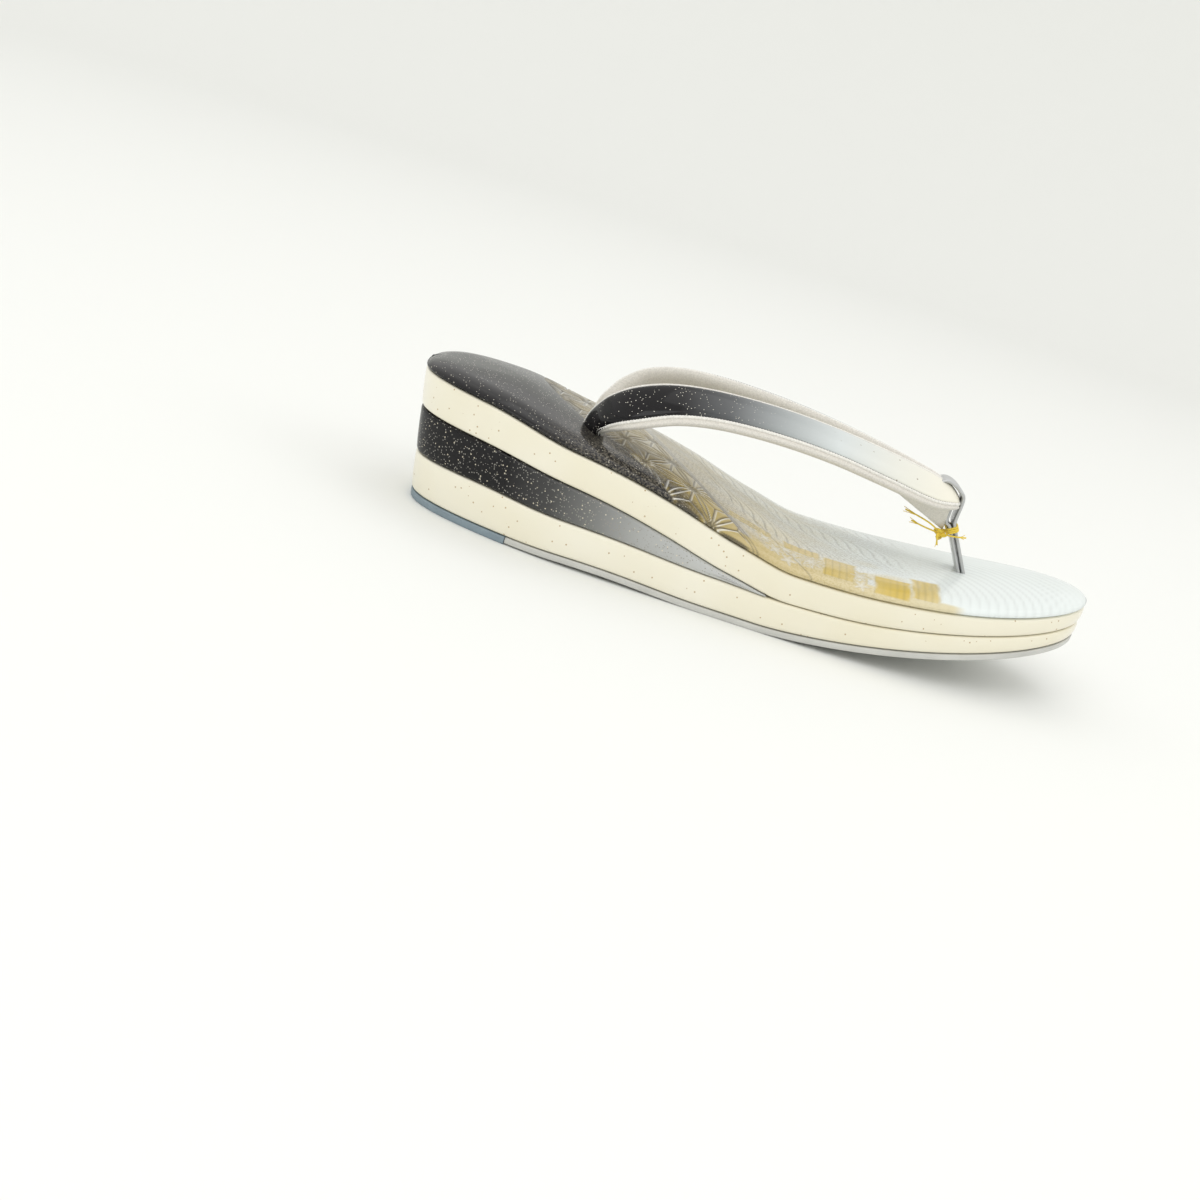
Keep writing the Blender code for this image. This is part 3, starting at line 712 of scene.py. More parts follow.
def strap_finish():
    """The straps' enamel: black with flecks at the back, silver over the instep, cream at the nose."""
    colours = bpy.context.scene.sandal_colours
    finish = Finish(
        "strap_shaded_enamel", roughness=0.40, coat=0.55, coat_roughness=0.10, specular=0.0,
    )
    black, cream = tuple(colours.black), tuple(colours.cream)
    shade = finish.ramp(
        finish.along(0, -0.065, 0.070),
        [
            (0.0, black), (0.24, black), (0.36, (0.10, 0.105, 0.11)), (0.50, (0.36, 0.385, 0.39)),
            (0.64, (0.62, 0.66, 0.66)), (0.80, (0.74, 0.74, 0.68)), (1.0, cream),
        ],
    )
    dark = finish.maths("SUBTRACT", 1.0, finish.along(0, -0.030, 0.015))
    flecks = finish.maths("MULTIPLY", finish.specks(1000.0, 0.16, 0.6), dark)
    flecked = finish.mixed(flecks, shade, (0.72, 0.69, 0.60))
    pale = finish.maths("MULTIPLY", finish.specks(420.0, 0.13, 0.25), finish.along(0, 0.015, 0.040))
    finish.colour(finish.mixed(pale, flecked, (0.34, 0.30, 0.24)))
    return finish.bump(finish.noise(140.0), 0.00005).material


def cloth_finish(name, colour, scale=2200.0):
    """A fine plain cloth."""
    finish = Finish(name, roughness=0.85, sheen=0.15)
    shadow = tuple(c * 0.82 for c in colour)
    finish.colour(finish.ramp(finish.noise(scale, 1.0), [(0.3, shadow), (0.7, tuple(colour))]))
    return finish.bump(finish.noise(scale, 1.0), 0.00012).material


def plain_finish(name, colour, roughness, metallic=0.0, coat=0.0, grain=400.0):
    """One colour, a little worn in slow patches, with a fine grain."""
    finish = Finish(name, roughness=roughness, metallic=metallic, coat=coat)
    worn = tuple(c * 0.88 for c in colour)
    finish.colour(finish.ramp(finish.noise(grain / 6), [(0.3, worn), (0.7, tuple(colour))]))
    return finish.bump(finish.noise(grain), 0.00006).material


# Sole.


def wall_points(along, side, inset, nominal):
    """Points of a layer's wall at one level: inset from the rim's outline, for every station."""
    place, outward = outline(along)
    inward = inset + wall_rake(along) * np.maximum(0.0, rim(along) - nominal(along))
    x = np.clip(place[:, 0] - outward[:, 0] * inward, 0.0, SOLE_LENGTH)
    y = np.maximum(0.0, place[:, 1] - outward[:, 1] * inward) * side
    return x, y


def layer(name, low, high, start, end, edge, swell, material):
    """A wrapped layer with rounded edges and a wall that swells a little between them."""
    along = spaced(start, end, LAYER_STATIONS)
    turn = [math.pi / 2 * k / EDGE_STEPS for k in range(EDGE_STEPS + 1)]
    levels = [(1 - math.sin(a), 1 - math.cos(a), 0.0) for a in turn]
    levels += [(None, 0.0, 1 / 3), (None, 0.0, 2 / 3)] if swell else []
    levels += [(1 - math.sin(a), math.cos(a) - 1, 1.0) for a in reversed(turn)]
    right, left = [], []
    radius = np.minimum(edge, EDGE_LIMIT * (high(along) - low(along)))
    for inset_share, lift_share, share in levels:
        inset = -swell if inset_share is None else inset_share * radius
        lift = lift_share * radius

        def height(x, share=share, lift=lift):
            """The level's height, with its rounding carried along the sole."""
            return low(x) + (high(x) - low(x)) * share + np.interp(x, along, lift)

        for side, store in ((1, right), (-1, left)):
            x, y = wall_points(along, side, inset, height)
            store.append(np.stack([x - HALF_LENGTH, y, height(x)], -1))
    rings = np.stack(right + left[::-1], axis=1)
    return loft(name, rings, material)


def wedge_end():
    """The last place along the sole where the wedge has room between its neighbours."""
    end = WEDGE_LENGTH
    while wedge_room(end) < 2 * SEAM_GAP:
        end -= END_STEP
    return end


# Footbed.


def footbed_edge_distance(x, y):
    """Distance of points of the plan from the rim's outline."""
    along = spaced(0.0, SOLE_LENGTH, 500)
    edge = np.stack([along - HALF_LENGTH, half_width(along)], -1)
    best = np.full(x.shape, 1.0)
    for start in range(0, len(x), 20000):
        part = slice(start, start + 20000)
        gap = np.hypot(x[part, None] - edge[None, :, 0], np.abs(y[part, None]) - edge[None, :, 1])
        best[part] = gap.min(axis=1)
    return best


def rolled(distance):
    """Height of the rounded edge and of the slow dome inside it."""
    share = 1 - np.clip(distance / CUSHION_ROLL_WIDTH, 0, 1)
    roll = np.sqrt(np.maximum(0.0, 1 - share * share))
    dome = np.sin(math.pi / 2 * np.clip((distance - 0.003) / CUSHION_DOME_WIDTH, 0, 1))
    return CUSHION_EDGE_HEIGHT * (0.08 + 0.92 * roll) + CUSHION_DOME * dome


def footbed_top(along, across=0.0):
    """Height of the footbed in the middle of the foot, for what stands on it."""
    room = np.maximum(0.001, half_width(along) - CUSHION_ROLL_WIDTH)
    side = np.maximum(0.0, 1 - (across / room) ** 2)
    return rim(along) + CUSHION_EDGE_HEIGHT + CUSHION_DOME * side


def stroke(distance, width, soft=0.00035):
    """1 on a line of this width, 0 away from it."""
    return np.clip((width / 2 - distance) / soft + 0.5, 0.0, 1.0)


def band(value, low, high, soft):
    """1 between two limits, with soft ends."""
    return np.clip((value - low) / soft + 0.5, 0, 1) * np.clip((high - value) / soft + 0.5, 0, 1)


def ramped(value, reach):
    """0 below nought, then rising to 1 over the reach."""
    return np.clip(value / reach, 0, 1)


def to_nearest(value, pitch):
    """Distance to the nearest whole number of pitches."""
    return np.abs(value / pitch - np.round(value / pitch)) * pitch


def hemp_leaf(x, y):
    """Distance to the lines of the hemp-leaf lattice, and to the nearest of its star centres."""
    u, v = x - LEAF_CENTRE[0], y - LEAF_CENTRE[1]
    tall = LEAF_SPACING * math.sqrt(3) / 2
    row = v / tall
    column = u / LEAF_SPACING - row / 2
    a, b = column - np.floor(column), row - np.floor(row)
    over = a + b > 1
    shares = np.stack([
        np.where(over, a + b - 1, 1 - a - b), np.where(over, 1 - a, a), np.where(over, 1 - b, b)
    ])
    shares.sort(axis=0)
    along = shares[1] / np.maximum(1e-6, shares[1] + shares[2])
    petal = np.abs(shares[0] * tall - LEAF_PETAL * np.sin(math.pi * along))
    chevron = (shares[1] - shares[0]) * tall / math.sqrt(3)
    return np.minimum(petal, chevron), (1 - shares[2]) * LEAF_SPACING


def rosette(x, y, along, across, radius, petals):
    """Distance to the petal outlines of one small flower."""
    dx, dy = x - along, y - across
    r = np.hypot(dx, dy)
    angle = np.arctan2(dy, dx) * petals / (2 * math.pi)
    turn = np.abs(angle - np.round(angle)) * 2 * math.pi / petals
    petal = np.abs(r * np.sin(turn) - 0.26 * np.minimum(r, np.maximum(0.0, radius - r)))
    return petal + np.maximum(0.0, r - radius)


def blossoms(x, y, pitch):
    """Distance to the outlines of small five-petalled flowers set in staggered rows."""
    row = np.floor(y / pitch)
    shifted = x + (row % 2) * pitch / 2
    column = np.floor(shifted / pitch)
    dx = shifted - (column + 0.5) * pitch
    dy = y - (row + 0.5) * pitch
    r = np.hypot(dx, dy)
    spin = (row * 1.7 + column * 2.3) % (2 * math.pi)
    petals = 0.28 + 0.12 * np.abs(np.cos(2.5 * (np.arctan2(dy, dx) + spin)))
    return np.abs(r - petals * pitch)


def swept(y, row):
    """A boundary that sweeps from the inner side of the heel to the outer side of the waist."""
    start, reach, power = row
    return start + reach * np.clip((SWEEP_INNER - y) / SWEEP_SPAN, 0, 1.3) ** power


def patch(x, y, row):
    """1 inside a soft-edged block, 0 outside it."""
    centre_x, centre_y, half_length, half_breadth, strength = row
    ripple = 0.0003 * np.sin(y * 700 + centre_x * 4000)
    inside = np.minimum(
        half_length - np.abs(x + ripple - centre_x), half_breadth - np.abs(y - centre_y)
    )
    return strength * np.clip(inside / 0.0012 + 0.5, 0, 1)


class Pattern:
    """The footbed's pattern at places of its plan: its zones, its relief and its tones."""

    def __init__(self, x, y):
        self.x, self.y = x, y
        self.rear, self.front = swept(y, LEAF_REAR), swept(y, LEAF_FRONT)
        self.outer = ramped(-y - 0.014, 0.016)
        self.leaf_zone = ramped(x - self.rear, 0.0010) * ramped(self.front - x, 0.0008)
        after = x - self.front - BLOOM_START
        self.bloom_zone = ramped(after, 0.001) * ramped(BLOOM_REACH - after, 0.001)
        self.bloom_zone *= band(y, -0.031, 0.012, 0.006)
        self.open_zone = (
            ramped(after, 0.002) * ramped(OPEN_END - x, 0.012) * ramped(OPEN_INNER - y, 0.010)
        )
        self.gold_blocks = np.maximum.reduce([patch(x, y, row) for row in GOLD_BLOCKS])
        self.flowers = np.minimum.reduce([rosette(x, y, *row) for row in EDGE_FLOWERS])
        self.flower_zone = 1.0 * (self.flowers < FLOWER_REACH)
        self.leaves, self.centres = hemp_leaf(x, y)
        self.relief = self.embossed()

    def embossed(self):
        """Depth of the embossed lines, from 0 to 1."""
        x, y = self.x, self.y
        border = np.minimum.reduce(
            [np.abs(x - self.rear)] + [np.abs(x - self.front - step) for step in BORDER_STEPS]
        )
        flow = np.abs(np.sin((x + 0.7 * y) * 1050 + 3.2 * np.sin(y * 210 + x * 95))) * 0.0009
        plain_edge = ramped(-y - 0.0215, 0.004) * (x > self.front)
        flow_zone = self.open_zone * 0.72 * (1 - plain_edge) * (1 - self.bloom_zone)
        fan = to_nearest(np.hypot(x - FAN_CENTRE[0], y - FAN_CENTRE[1]), FAN_PITCH)
        fan_zone = band(x, 0.060, 0.112, 0.012) * band(y, -0.036, 0.012, 0.010)
        return np.maximum.reduce([
            stroke(self.leaves, LEAF_LINE) * self.leaf_zone,
            stroke(border, BORDER_LINE) * 0.8 * np.clip((0.030 - y) / 0.02, 0.25, 1),
            stroke(blossoms(x, y, BLOOM_PITCH), FINE_LINE) * self.bloom_zone * 0.55,
            stroke(flow, FINE_LINE) * flow_zone,
            stroke(fan, FAN_LINE, 0.0007) * fan_zone * 0.26,
            stroke(to_nearest(x, BAR_PITCH), BAR_LINE) * self.gold_blocks * 0.45,
            stroke(self.flowers, FLOWER_LINE) * self.flower_zone,
        ])

    def gilding(self):
        """Share of gold, from 0 to 1."""
        x, y = self.x, self.y
        drift = 0.5 + 0.5 * np.sin(x * 230 + 1.9 * np.sin(y * 170 + x * 40)) * np.sin(y * 310 + 0.8)
        starred = np.clip(1.15 - self.centres / 0.0060, 0, 0.85) * (0.45 + 0.55 * self.outer)
        clouded = (0.10 + 0.22 * drift) * band(x - self.rear, 0.004, 0.08, 0.010)
        return np.maximum.reduce([
            self.leaf_zone * starred,
            self.leaf_zone * clouded,
            self.leaf_zone * self.outer * 0.55 * ramped(x - self.rear - 0.010, 0.006),
            self.gold_blocks * (0.80 + 0.20 * drift),
            self.open_zone * (0.12 + 0.20 * drift) * ramped(0.045 - x, 0.03),
            self.open_zone * 0.55 * np.clip(drift * 2.2 - 1.2, 0, 1) * self.outer,
            band(y, -0.050, -0.0372, 0.001) * band(x, -0.012, 0.074, 0.004) * 0.55,
            self.flower_zone * 0.50,
        ])

    def tones(self):
        """What the footbed's finish reads from the mesh, by name, its painted highlights among them.
        """
        past = self.x - self.rear
        # The leaf highlight is painted, shifted a little off each embossed line; the flower outlines
        # get painted highlights too.
        beside = hemp_leaf(self.x - PAINTED_HIGHLIGHT_SHIFT, self.y + PAINTED_HIGHLIGHT_SHIFT)[0]
        leaf_painted_highlight = stroke(beside, PAINTED_HIGHLIGHT_LINE) * self.leaf_zone * (0.55 + 0.40 * self.outer)
        flower_painted_highlight = stroke(self.flowers, PAINTED_HIGHLIGHT_LINE) * self.flower_zone * 0.65
        pale = ramped(past + 0.018, 0.115) - 0.16 * self.outer * ramped(-self.x, 0.02)
        return {
            "ink": self.relief * (0.95 - 0.50 * ramped(past, 0.09)) * (1 - 0.75 * self.flower_zone),
            "gilding": self.gilding(),
            "painted_highlight": np.maximum(leaf_painted_highlight * (1 - self.relief), flower_painted_highlight),
            "pale": np.clip(pale, 0, 1),
            "flecked": 1 - ramped(past, 0.030),
        }


def footbed_stations():
    """Places along the footbed: closest under the pattern, and where the ends are round."""
    parts = [np.linspace(*span, endpoint=False) for span in FOOTBED_SPANS]
    length, stations = FOOTBED_HEEL
    heel = length * (1 - np.cos(np.linspace(0, math.pi / 2, stations, endpoint=False)))
    length, stations = FOOTBED_TOE
    toe = SOLE_LENGTH - length * (1 - np.sin(np.linspace(0, math.pi / 2, stations)))
    return np.concatenate([heel, *parts, toe])


def footbed_rings(relief_depth):
    """Rings of the footbed: its embossed top, then its flat underside."""
    along = footbed_stations()
    even = np.linspace(-1, 1, FOOTBED_COLUMNS + 1)
    share = 0.25 * np.sin(even * math.pi / 2) + 0.75 * even
    x = np.repeat((along - HALF_LENGTH)[:, None], FOOTBED_COLUMNS + 1, axis=1)
    y = half_width(along)[:, None] * share[None, :]
    distance = footbed_edge_distance(x.ravel(), y.ravel()).reshape(x.shape)
    z = rim(along)[:, None] + rolled(distance)
    for place, depth, size in puckers():
        gap = np.hypot(x - place[0], np.abs(y) - abs(place[1]))
        z -= depth * np.exp(-((gap / size) ** 2))
    relief = Pattern(x.ravel(), y.ravel()).relief.reshape(x.shape)
    z -= relief_depth * relief * np.clip((distance - 0.0008) / 0.002, 0, 1)
    top = np.stack([x, y, z], -1)
    seat = np.repeat(rim(along)[:, None] + SEAM_GAP, FOOTBED_COLUMNS + 1, axis=1)
    under = np.stack([x, y, seat], -1)
    picks = np.linspace(FOOTBED_COLUMNS, 0, 7).astype(int)
    return np.concatenate([top, under[:, picks]], axis=1)


def puckers():
    """Places where the padding is drawn down: round the straps' ends and the toe loop."""
    anchor = STRAP_ROWS[2]
    along = ANCHOR_PLACE + anchor[0] * (NOSE_PLACE - ANCHOR_PLACE)
    return [
        ((along - HALF_LENGTH, anchor[1] * STRAP_SPREAD), 0.0003, 0.0085),
        ((THONG_PLACE - HALF_LENGTH, 0.0), 0.0005, 0.0050),
    ]


# Straps.


def strap_frames():
    """Centre, outer look, width direction, width and depth along the near arm to the nose."""
    centres, looks, sizes = [], [], []
    for forward, outward, above, turn, lift, width, thickness in STRAP_ROWS:
        along = ANCHOR_PLACE + forward * (NOSE_PLACE - ANCHOR_PLACE)
        side = -outward * STRAP_SPREAD
        centres.append((along - HALF_LENGTH, side, footbed_top(along, side) + above * STRAP_RISE))
        a, b = math.radians(turn), math.radians(lift)
        looks.append((math.sin(a) * math.cos(b), -math.cos(a) * math.cos(b), math.sin(b)))
        sizes.append((width * STRAP_WIDTH, thickness * STRAP_THICKNESS))
    flip = np.array([1.0, -1.0, 1.0])
    both = [np.array(column, float) for column in (centres, looks, sizes)]
    whole = [
        np.concatenate([column, (column[-2::-1] * (flip if column.shape[1] == 3 else 1.0))])
        for column in both
    ]
    count = 2 * STRAP_STATIONS + 1
    centre, look, size = (curve_through(column, count) for column in whole)
    run = np.gradient(centre, axis=0)
    run /= np.linalg.norm(run, axis=1, keepdims=True)
    look -= run * (look * run).sum(axis=1, keepdims=True)
    look /= np.linalg.norm(look, axis=1, keepdims=True)
    up = np.cross(run, look)
    up /= np.linalg.norm(up, axis=1, keepdims=True)
    up = np.where(up[:, 2:3] < 0, -up, up)
    return centre, look, up, size[:, 0], size[:, 1]


def root_share(count, narrowest):
    """The strap's share of its width along both arms: narrow at the footbed, full past the root."""
    place = 1 - np.abs(np.linspace(-1, 1, count))
    risen = np.clip((place - ROOT_START) / ROOT_LENGTH, 0, 1)
    return narrowest + (1 - narrowest) * risen * risen * (3 - 2 * risen)


def strap_path(frames, across, out, tuck=1.0):
    """A line along both arms: shares of the half width across and of the thickness outward."""
    centre, look, up, width, depth = frames
    narrowest = ROOT_UPPER if across > 0 else ROOT_LOWER * tuck
    half = width / 2 * root_share(len(centre), narrowest)
    return centre + up * (across * half)[:, None] + look * (out * depth)[:, None]


def strap_body(name, frames, profile, material, tuck=1.0):
    """A loft whose ring is a profile of (across, out) shares."""
    rings = np.stack([strap_path(frames, a, o, tuck) for a, o in profile], axis=1)
    return loft(name, rings, material)


def enamel_profile(arc):
    """Section of the enamel face: a low crown between its seams, then its hidden back."""
    face = [
        (
            (ENAMEL_UPPER if a < math.pi / 2 else ENAMEL_LOWER) * math.cos(a),
            ENAMEL_EDGE + ENAMEL_BULGE * math.sin(a) ** 0.75,
        )
        for a in arc
    ]
    return face + [(-ENAMEL_LOWER * 0.9, 0.02), (0.0, -0.05), (ENAMEL_UPPER * 0.9, 0.02)]


def lining_profile(arc):
    """Section of the lining: its shoulders at the seams, then the strap's padded back."""
    back = [(LINING_PROUD * math.cos(a), 0.10 - LINING_DEPTH * math.sin(a) ** 0.8) for a in arc]
    return (back + LINING_SHOULDERS)[::-1]


def evenly(points, pitch):
    """The same path with places at an even pitch."""
    steps = np.linalg.norm(np.diff(points, axis=0), axis=1)
    run = np.concatenate([[0.0], np.cumsum(steps)])
    at = np.arange(0.0, run[-1], pitch)
    return np.stack([np.interp(at, run, points[:, k]) for k in range(3)], -1)


def strap_edges(frames, diameter, pitch):
    """The ribbed piping, and a thin dark tube along both edges of the enamel: painted shade in the gap
    between the enamel and the piping.
    """
    piping, seams = [], []
    for edge, shade_radius in ((ENAMEL_UPPER, 0.6 * SHADE_LINE_RADIUS), (-ENAMEL_LOWER, SHADE_LINE_RADIUS)):
        away = math.copysign(PIPING_PROUD, edge)
        path = evenly(strap_path(frames, edge + away, PIPING_OUT, PIPING_TUCK), pitch / 4)
        phase = np.arange(len(path)) * math.pi / 2
        size = diameter / 2 * (1 + PIPING_RIB * np.cos(phase))
        piping.append(loft_bmesh(tube_rings(path, size, 10)))
        # The seam tube is painted shade: a dark line where the enamel meets the piping.
        seam = strap_path(frames, edge + 0.1 * away, ENAMEL_EDGE)
        seams.append(loft_bmesh(tube_rings(seam, shade_radius, 8)))
    return piping, seams


def thong_axis():
    """The tie, where the legs pass the footbed, the way up them and the way across them."""
    tie = np.array([TIE_PLACE - HALF_LENGTH, 0.0, footbed_top(TIE_PLACE) + TIE_HEIGHT])
    thong = np.array([THONG_PLACE - HALF_LENGTH, 0.0, footbed_top(THONG_PLACE)])
    along = (tie - thong) / np.linalg.norm(tie - thong)
    return tie, thong, along, np.array([along[2], 0.0, -along[0]])


def web_rings(frames, side):
    """One arm's pinched lining: from the strap's lower edge down to the knot, with small gathers."""
    centre, look, up, width, _ = frames
    middle = (len(centre) - 1) // 2
    first = int(WEB_START * middle)
    last = first + int(np.argmax(np.abs(centre[first:middle + 1, 1]) < WEB_REACH))
    tie, _, along, across = thong_axis()
    knot = tie - across * WEB_BEHIND + along * WEB_OVER_TIE + np.array([0.0, -WEB_ASIDE, 0.0])
    start = centre[first] - up[first] * width[first] * WEB_LOW
    rings = []
    for step in range(WEB_STATIONS + 1):
        share = step / WEB_STATIONS
        i = first + int(round((last - first) * min(1.0, share * WEB_HASTE)))
        high = centre[i] - up[i] * width[i] * WEB_HIGH
        low = start + (knot - start) * share
        out = np.array([look[i][0], look[i][1], 0.0])
        out /= np.linalg.norm(out)
        front, back = [], []
        for level in np.linspace(0, 1, 9):
            point = high + (low - high) * level
            gather = WEB_GATHER * math.sin(share * WEB_GATHER_TURN) * level * (1.15 - share)
            thick = WEB_THICKNESS / 2 * (1 - 0.6 * share * level)
            front.append(point + out * (thick + gather))
            back.append(point + out * (gather - thick))
        rings.append(np.array(front + back[::-1]))
    return np.array(rings) * np.array([1.0, side, 1.0])


# Toe loop and tie.


def loop_route():
    """Middle line of the leather strip, from the back leg over the nose to the front leg."""
    centre, look, up, width, depth = (column[STRAP_STATIONS] for column in strap_frames())
    centre = np.array([centre[0], 0.0, centre[2]])
    reach = SEAM_GAP + LOOP_THICKNESS / 2
    tie, thong, along, across = thong_axis()
    foot = thong - along * (2 * CUSHION_EDGE_HEIGHT)
    leg = LOOP_THICKNESS / 2 + SEAM_GAP / 2
    spread = WEB_THICKNESS * 0.40 + reach
    below = tie - along * WEB_STOP
    upper = tie + along * LOOP_ABOVE_TIE

    def round_nose(degrees):
        angle = math.radians(degrees)
        bulge = LOOP_OVER_NOSE if angle > 0 else 1 - STRAP_OUTER_SHARE
        return (
            centre
            + up * (math.cos(angle) * (width / 2 + reach))
            + look * (math.sin(angle) * (bulge * depth + reach))
        )

    nose = [round_nose(a) for a in LOOP_ANGLES]
    back = [foot, below, upper, tie - across * (spread - leg) + along * WEB_STOP]
    front = [tie + across * (spread - leg) + along * WEB_STOP, upper, below, foot]
    return np.array(
        [p - across * leg for p in back] + nose + [p + across * leg for p in front]
    )


def strip_rings():
    """Rings of the strip, with eased edges and a faint crown."""
    route = loop_route()
    path = np.concatenate([
        np.linspace(route[0], route[1], STRIP_LEG_STATIONS, endpoint=False),
        curve_through(route[1:-1], STRIP_STATIONS),
        np.linspace(route[-2], route[-1], STRIP_LEG_STATIONS)[1:],
    ])
    run = np.gradient(path, axis=0)
    run /= np.linalg.norm(run, axis=1, keepdims=True)
    rings = []
    last = len(path) - 1
    for i, (point, way) in enumerate(zip(path, run)):
        normal = np.array([way[2], 0.0, -way[0]])
        middle = min(1.0, min(i, last - i) / STRIP_EASE)
        half = (LOOP_LEG_WIDTH + (LOOP_WIDTH - LOOP_LEG_WIDTH) * middle) / 2
        rings.append([
            point + np.array([0.0, a * half, 0.0]) + normal * (o * LOOP_THICKNESS / 2)
            for a, o in STRIP_RING
        ])
    return rings


def thread_winding(diameter):
    """Path of the thread wound round both legs."""
    tie, _, along, across = thong_axis()
    wide = LOOP_THICKNESS + SEAM_GAP / 2 + diameter * 0.55
    deep = LOOP_LEG_WIDTH / 2 + diameter * 0.45
    points = []
    for i in range(THREAD_TURNS * WINDING_STEPS + 1):
        turn = i / WINDING_STEPS
        c, s = math.cos(2 * math.pi * turn), math.sin(2 * math.pi * turn)
        points.append(
            tie
            + across * (wide * math.copysign(abs(c) ** WINDING_SQUARENESS, c))
            + np.array([0.0, deep * math.copysign(abs(s) ** WINDING_SQUARENESS, s), 0.0])
            + along * ((turn - THREAD_TURNS / 2) * diameter)
        )
    return points


def knot_path(centre, size):
    """A small knot: a cord that crosses itself three times."""
    points = []
    for i in range(KNOT_STEPS + 1):
        a = 2 * math.pi * i / KNOT_STEPS
        points.append(centre + size * np.array([
            0.5 * (math.sin(a) + 2 * math.sin(2 * a)) / 3 * 1.5,
            0.36 * -math.sin(3 * a),
            0.5 * (math.cos(a) - 2 * math.cos(2 * a)) / 3 * 1.3,
        ]))
    return points


def thread_parts(diameter):
    """Skins of the thread: its turns, its knot and its frayed ends."""
    tie, _, _, across = thong_axis()
    parts = [loft_bmesh(tube_rings(thread_winding(diameter), diameter / 2, 8))]
    knot = tie - across * (LOOP_THICKNESS + KNOT_BEHIND) + KNOT_ASIDE
    for size in KNOT_SIZES:
        parts.append(loft_bmesh(tube_rings(knot_path(knot, size), diameter * 0.62, 8)))
    for end in THREAD_ENDS:
        path = curve_through(np.array(end) + knot, 26)
        parts.append(loft_bmesh(tube_rings(path, diameter * 0.40, 7)))
        for spread in (-1.0, 1.0):
            away = np.array([-0.0006, 0.0007 * spread, 0.0007 * spread])
            frayed = path[-FRAYED_POINTS:] + np.linspace(0, 1, FRAYED_POINTS)[:, None] * away
            parts.append(loft_bmesh(tube_rings(frayed, diameter * 0.16, 5)))
    return parts


# Stage.


def backdrop_rings(sides=128, steps=24):
    """Rings of the backdrop, from its middle out and up, then back under it."""
    outer = BACKDROP_FLAT + BACKDROP_CURVE
    profile = [(0.0, 0.0), (0.9 * BACKDROP_FLAT, 0.0)]
    for turn in np.linspace(0, math.pi / 2, steps + 1):
        reach = BACKDROP_FLAT + BACKDROP_CURVE * math.sin(turn)
        profile.append((reach, BACKDROP_CURVE * (1 - math.cos(turn))))
    profile += [
        (outer, BACKDROP_HEIGHT), (outer + BACKDROP_THICKNESS, BACKDROP_HEIGHT),
        (outer + BACKDROP_THICKNESS, -BACKDROP_THICKNESS), (0.0, -BACKDROP_THICKNESS),
    ]
    angles = np.linspace(0, 2 * math.pi, sides, endpoint=False)
    return [[(r * math.cos(a), r * math.sin(a), z) for a in angles] for r, z in profile]


def soft_light(name, place, size, power):
    """A square light that looks at the sandal."""
    data = bpy.data.lights.new(name, "AREA")
    data.shape = "SQUARE"
    data.size = size
    data.energy = power
    light = bpy.data.objects.new(name, data)
    light.location = place
    light.rotation_euler = (LIGHT_TARGET - Vector(place)).to_track_quat("-Z", "Y").to_euler()
    return light


def photo_camera():
    """The photograph's camera."""
    data = bpy.data.cameras.new("photo_camera")
    data.sensor_width = SENSOR_WIDTH
    data.lens = CAMERA_FOCAL_PX / PHOTO_PX * SENSOR_WIDTH
    data.clip_start = 0.01
    camera = bpy.data.objects.new("photo_camera", data)
    back = -CAMERA_FORWARD.normalized()
    right = CAMERA_UP.cross(back).normalized()
    turned = Matrix((right, back.cross(right), back)).transposed().to_4x4()
    camera.matrix_world = Matrix.Translation(CAMERA_PLACE) @ turned
    return camera


# Operators.


class SANDAL_OT_sole(bpy.types.Operator):
    """Make the outsole, heel lift, both cream layers and the dark wedge"""

    bl_idname = "sandal.sole"
    bl_label = "Sole"

    def execute(self, context):
        edge = context.scene.sandal_sizes.wall_edge
        rubber = plain_finish("lift_rubber_worn", (0.235, 0.30, 0.345), 0.6, grain=900.0)
        sheet = plain_finish("outsole_silver_sheet", (0.60, 0.60, 0.57), 0.42, grain=700.0)
        below, above = cream_finish("cream_enamel_below"), cream_finish("cream_enamel_above")
        for name, low, high, start, end, radius, swell, material, slot, node in (
            ("dressed_heel_lift", np.zeros_like, lower_base, 0.0, LIFT_LENGTH - SEAM_GAP,
             LIFT_EDGE, 0.0, rubber, "lift_rubber", "heel_lift"),
            ("dressed_outsole", bottom, lower_base, LIFT_LENGTH, SOLE_LENGTH,
             LIFT_EDGE, 0.0, sheet, "outsole_sheet", "outsole"),
            ("dressed_lower_layer", lower_base, wedge_base, 0.0, SOLE_LENGTH,
             edge, CREAM_SWELL, below, "cream_enamel_lower", "lower_layer"),
            ("dressed_wedge", wedge_base, upper_base, 0.0, wedge_end(),
             edge, WEDGE_SWELL, wedge_finish(), "wedge_enamel", "wedge"),
            ("dressed_upper_layer", upper_base, rim, 0.0, SOLE_LENGTH,
             edge, CREAM_SWELL, above, "cream_enamel_upper", "upper_layer"),
        ):
            def top(x, high=high):
                """The upper face, a seam's gap below the next piece."""
                return high(x) - SEAM_GAP

            dress(layer(name, low, top, start, end, radius, swell, material), slot, node)
        return {"FINISHED"}


class SANDAL_OT_footbed(bpy.types.Operator):
    """Make the padded footbed with its embossed and gilded pattern"""

    bl_idname = "sandal.footbed"
    bl_label = "Footbed"

    def execute(self, context):
        rings = footbed_rings(context.scene.sandal_sizes.relief)
        footbed = loft("dressed_footbed", rings, footbed_finish())
        mesh = footbed.data
        flat = np.empty(len(mesh.vertices) * 3, np.float32)
        mesh.vertices.foreach_get("co", flat)
        place = flat.reshape(-1, 3).astype(float)
        for name, values in Pattern(place[:, 0], place[:, 1]).tones().items():
            tone = mesh.attributes.new(name, "FLOAT", "POINT")
            tone.data.foreach_set("value", values.astype(np.float32))
        dress(footbed, "footbed_enamel", "cushion")
        return {"FINISHED"}


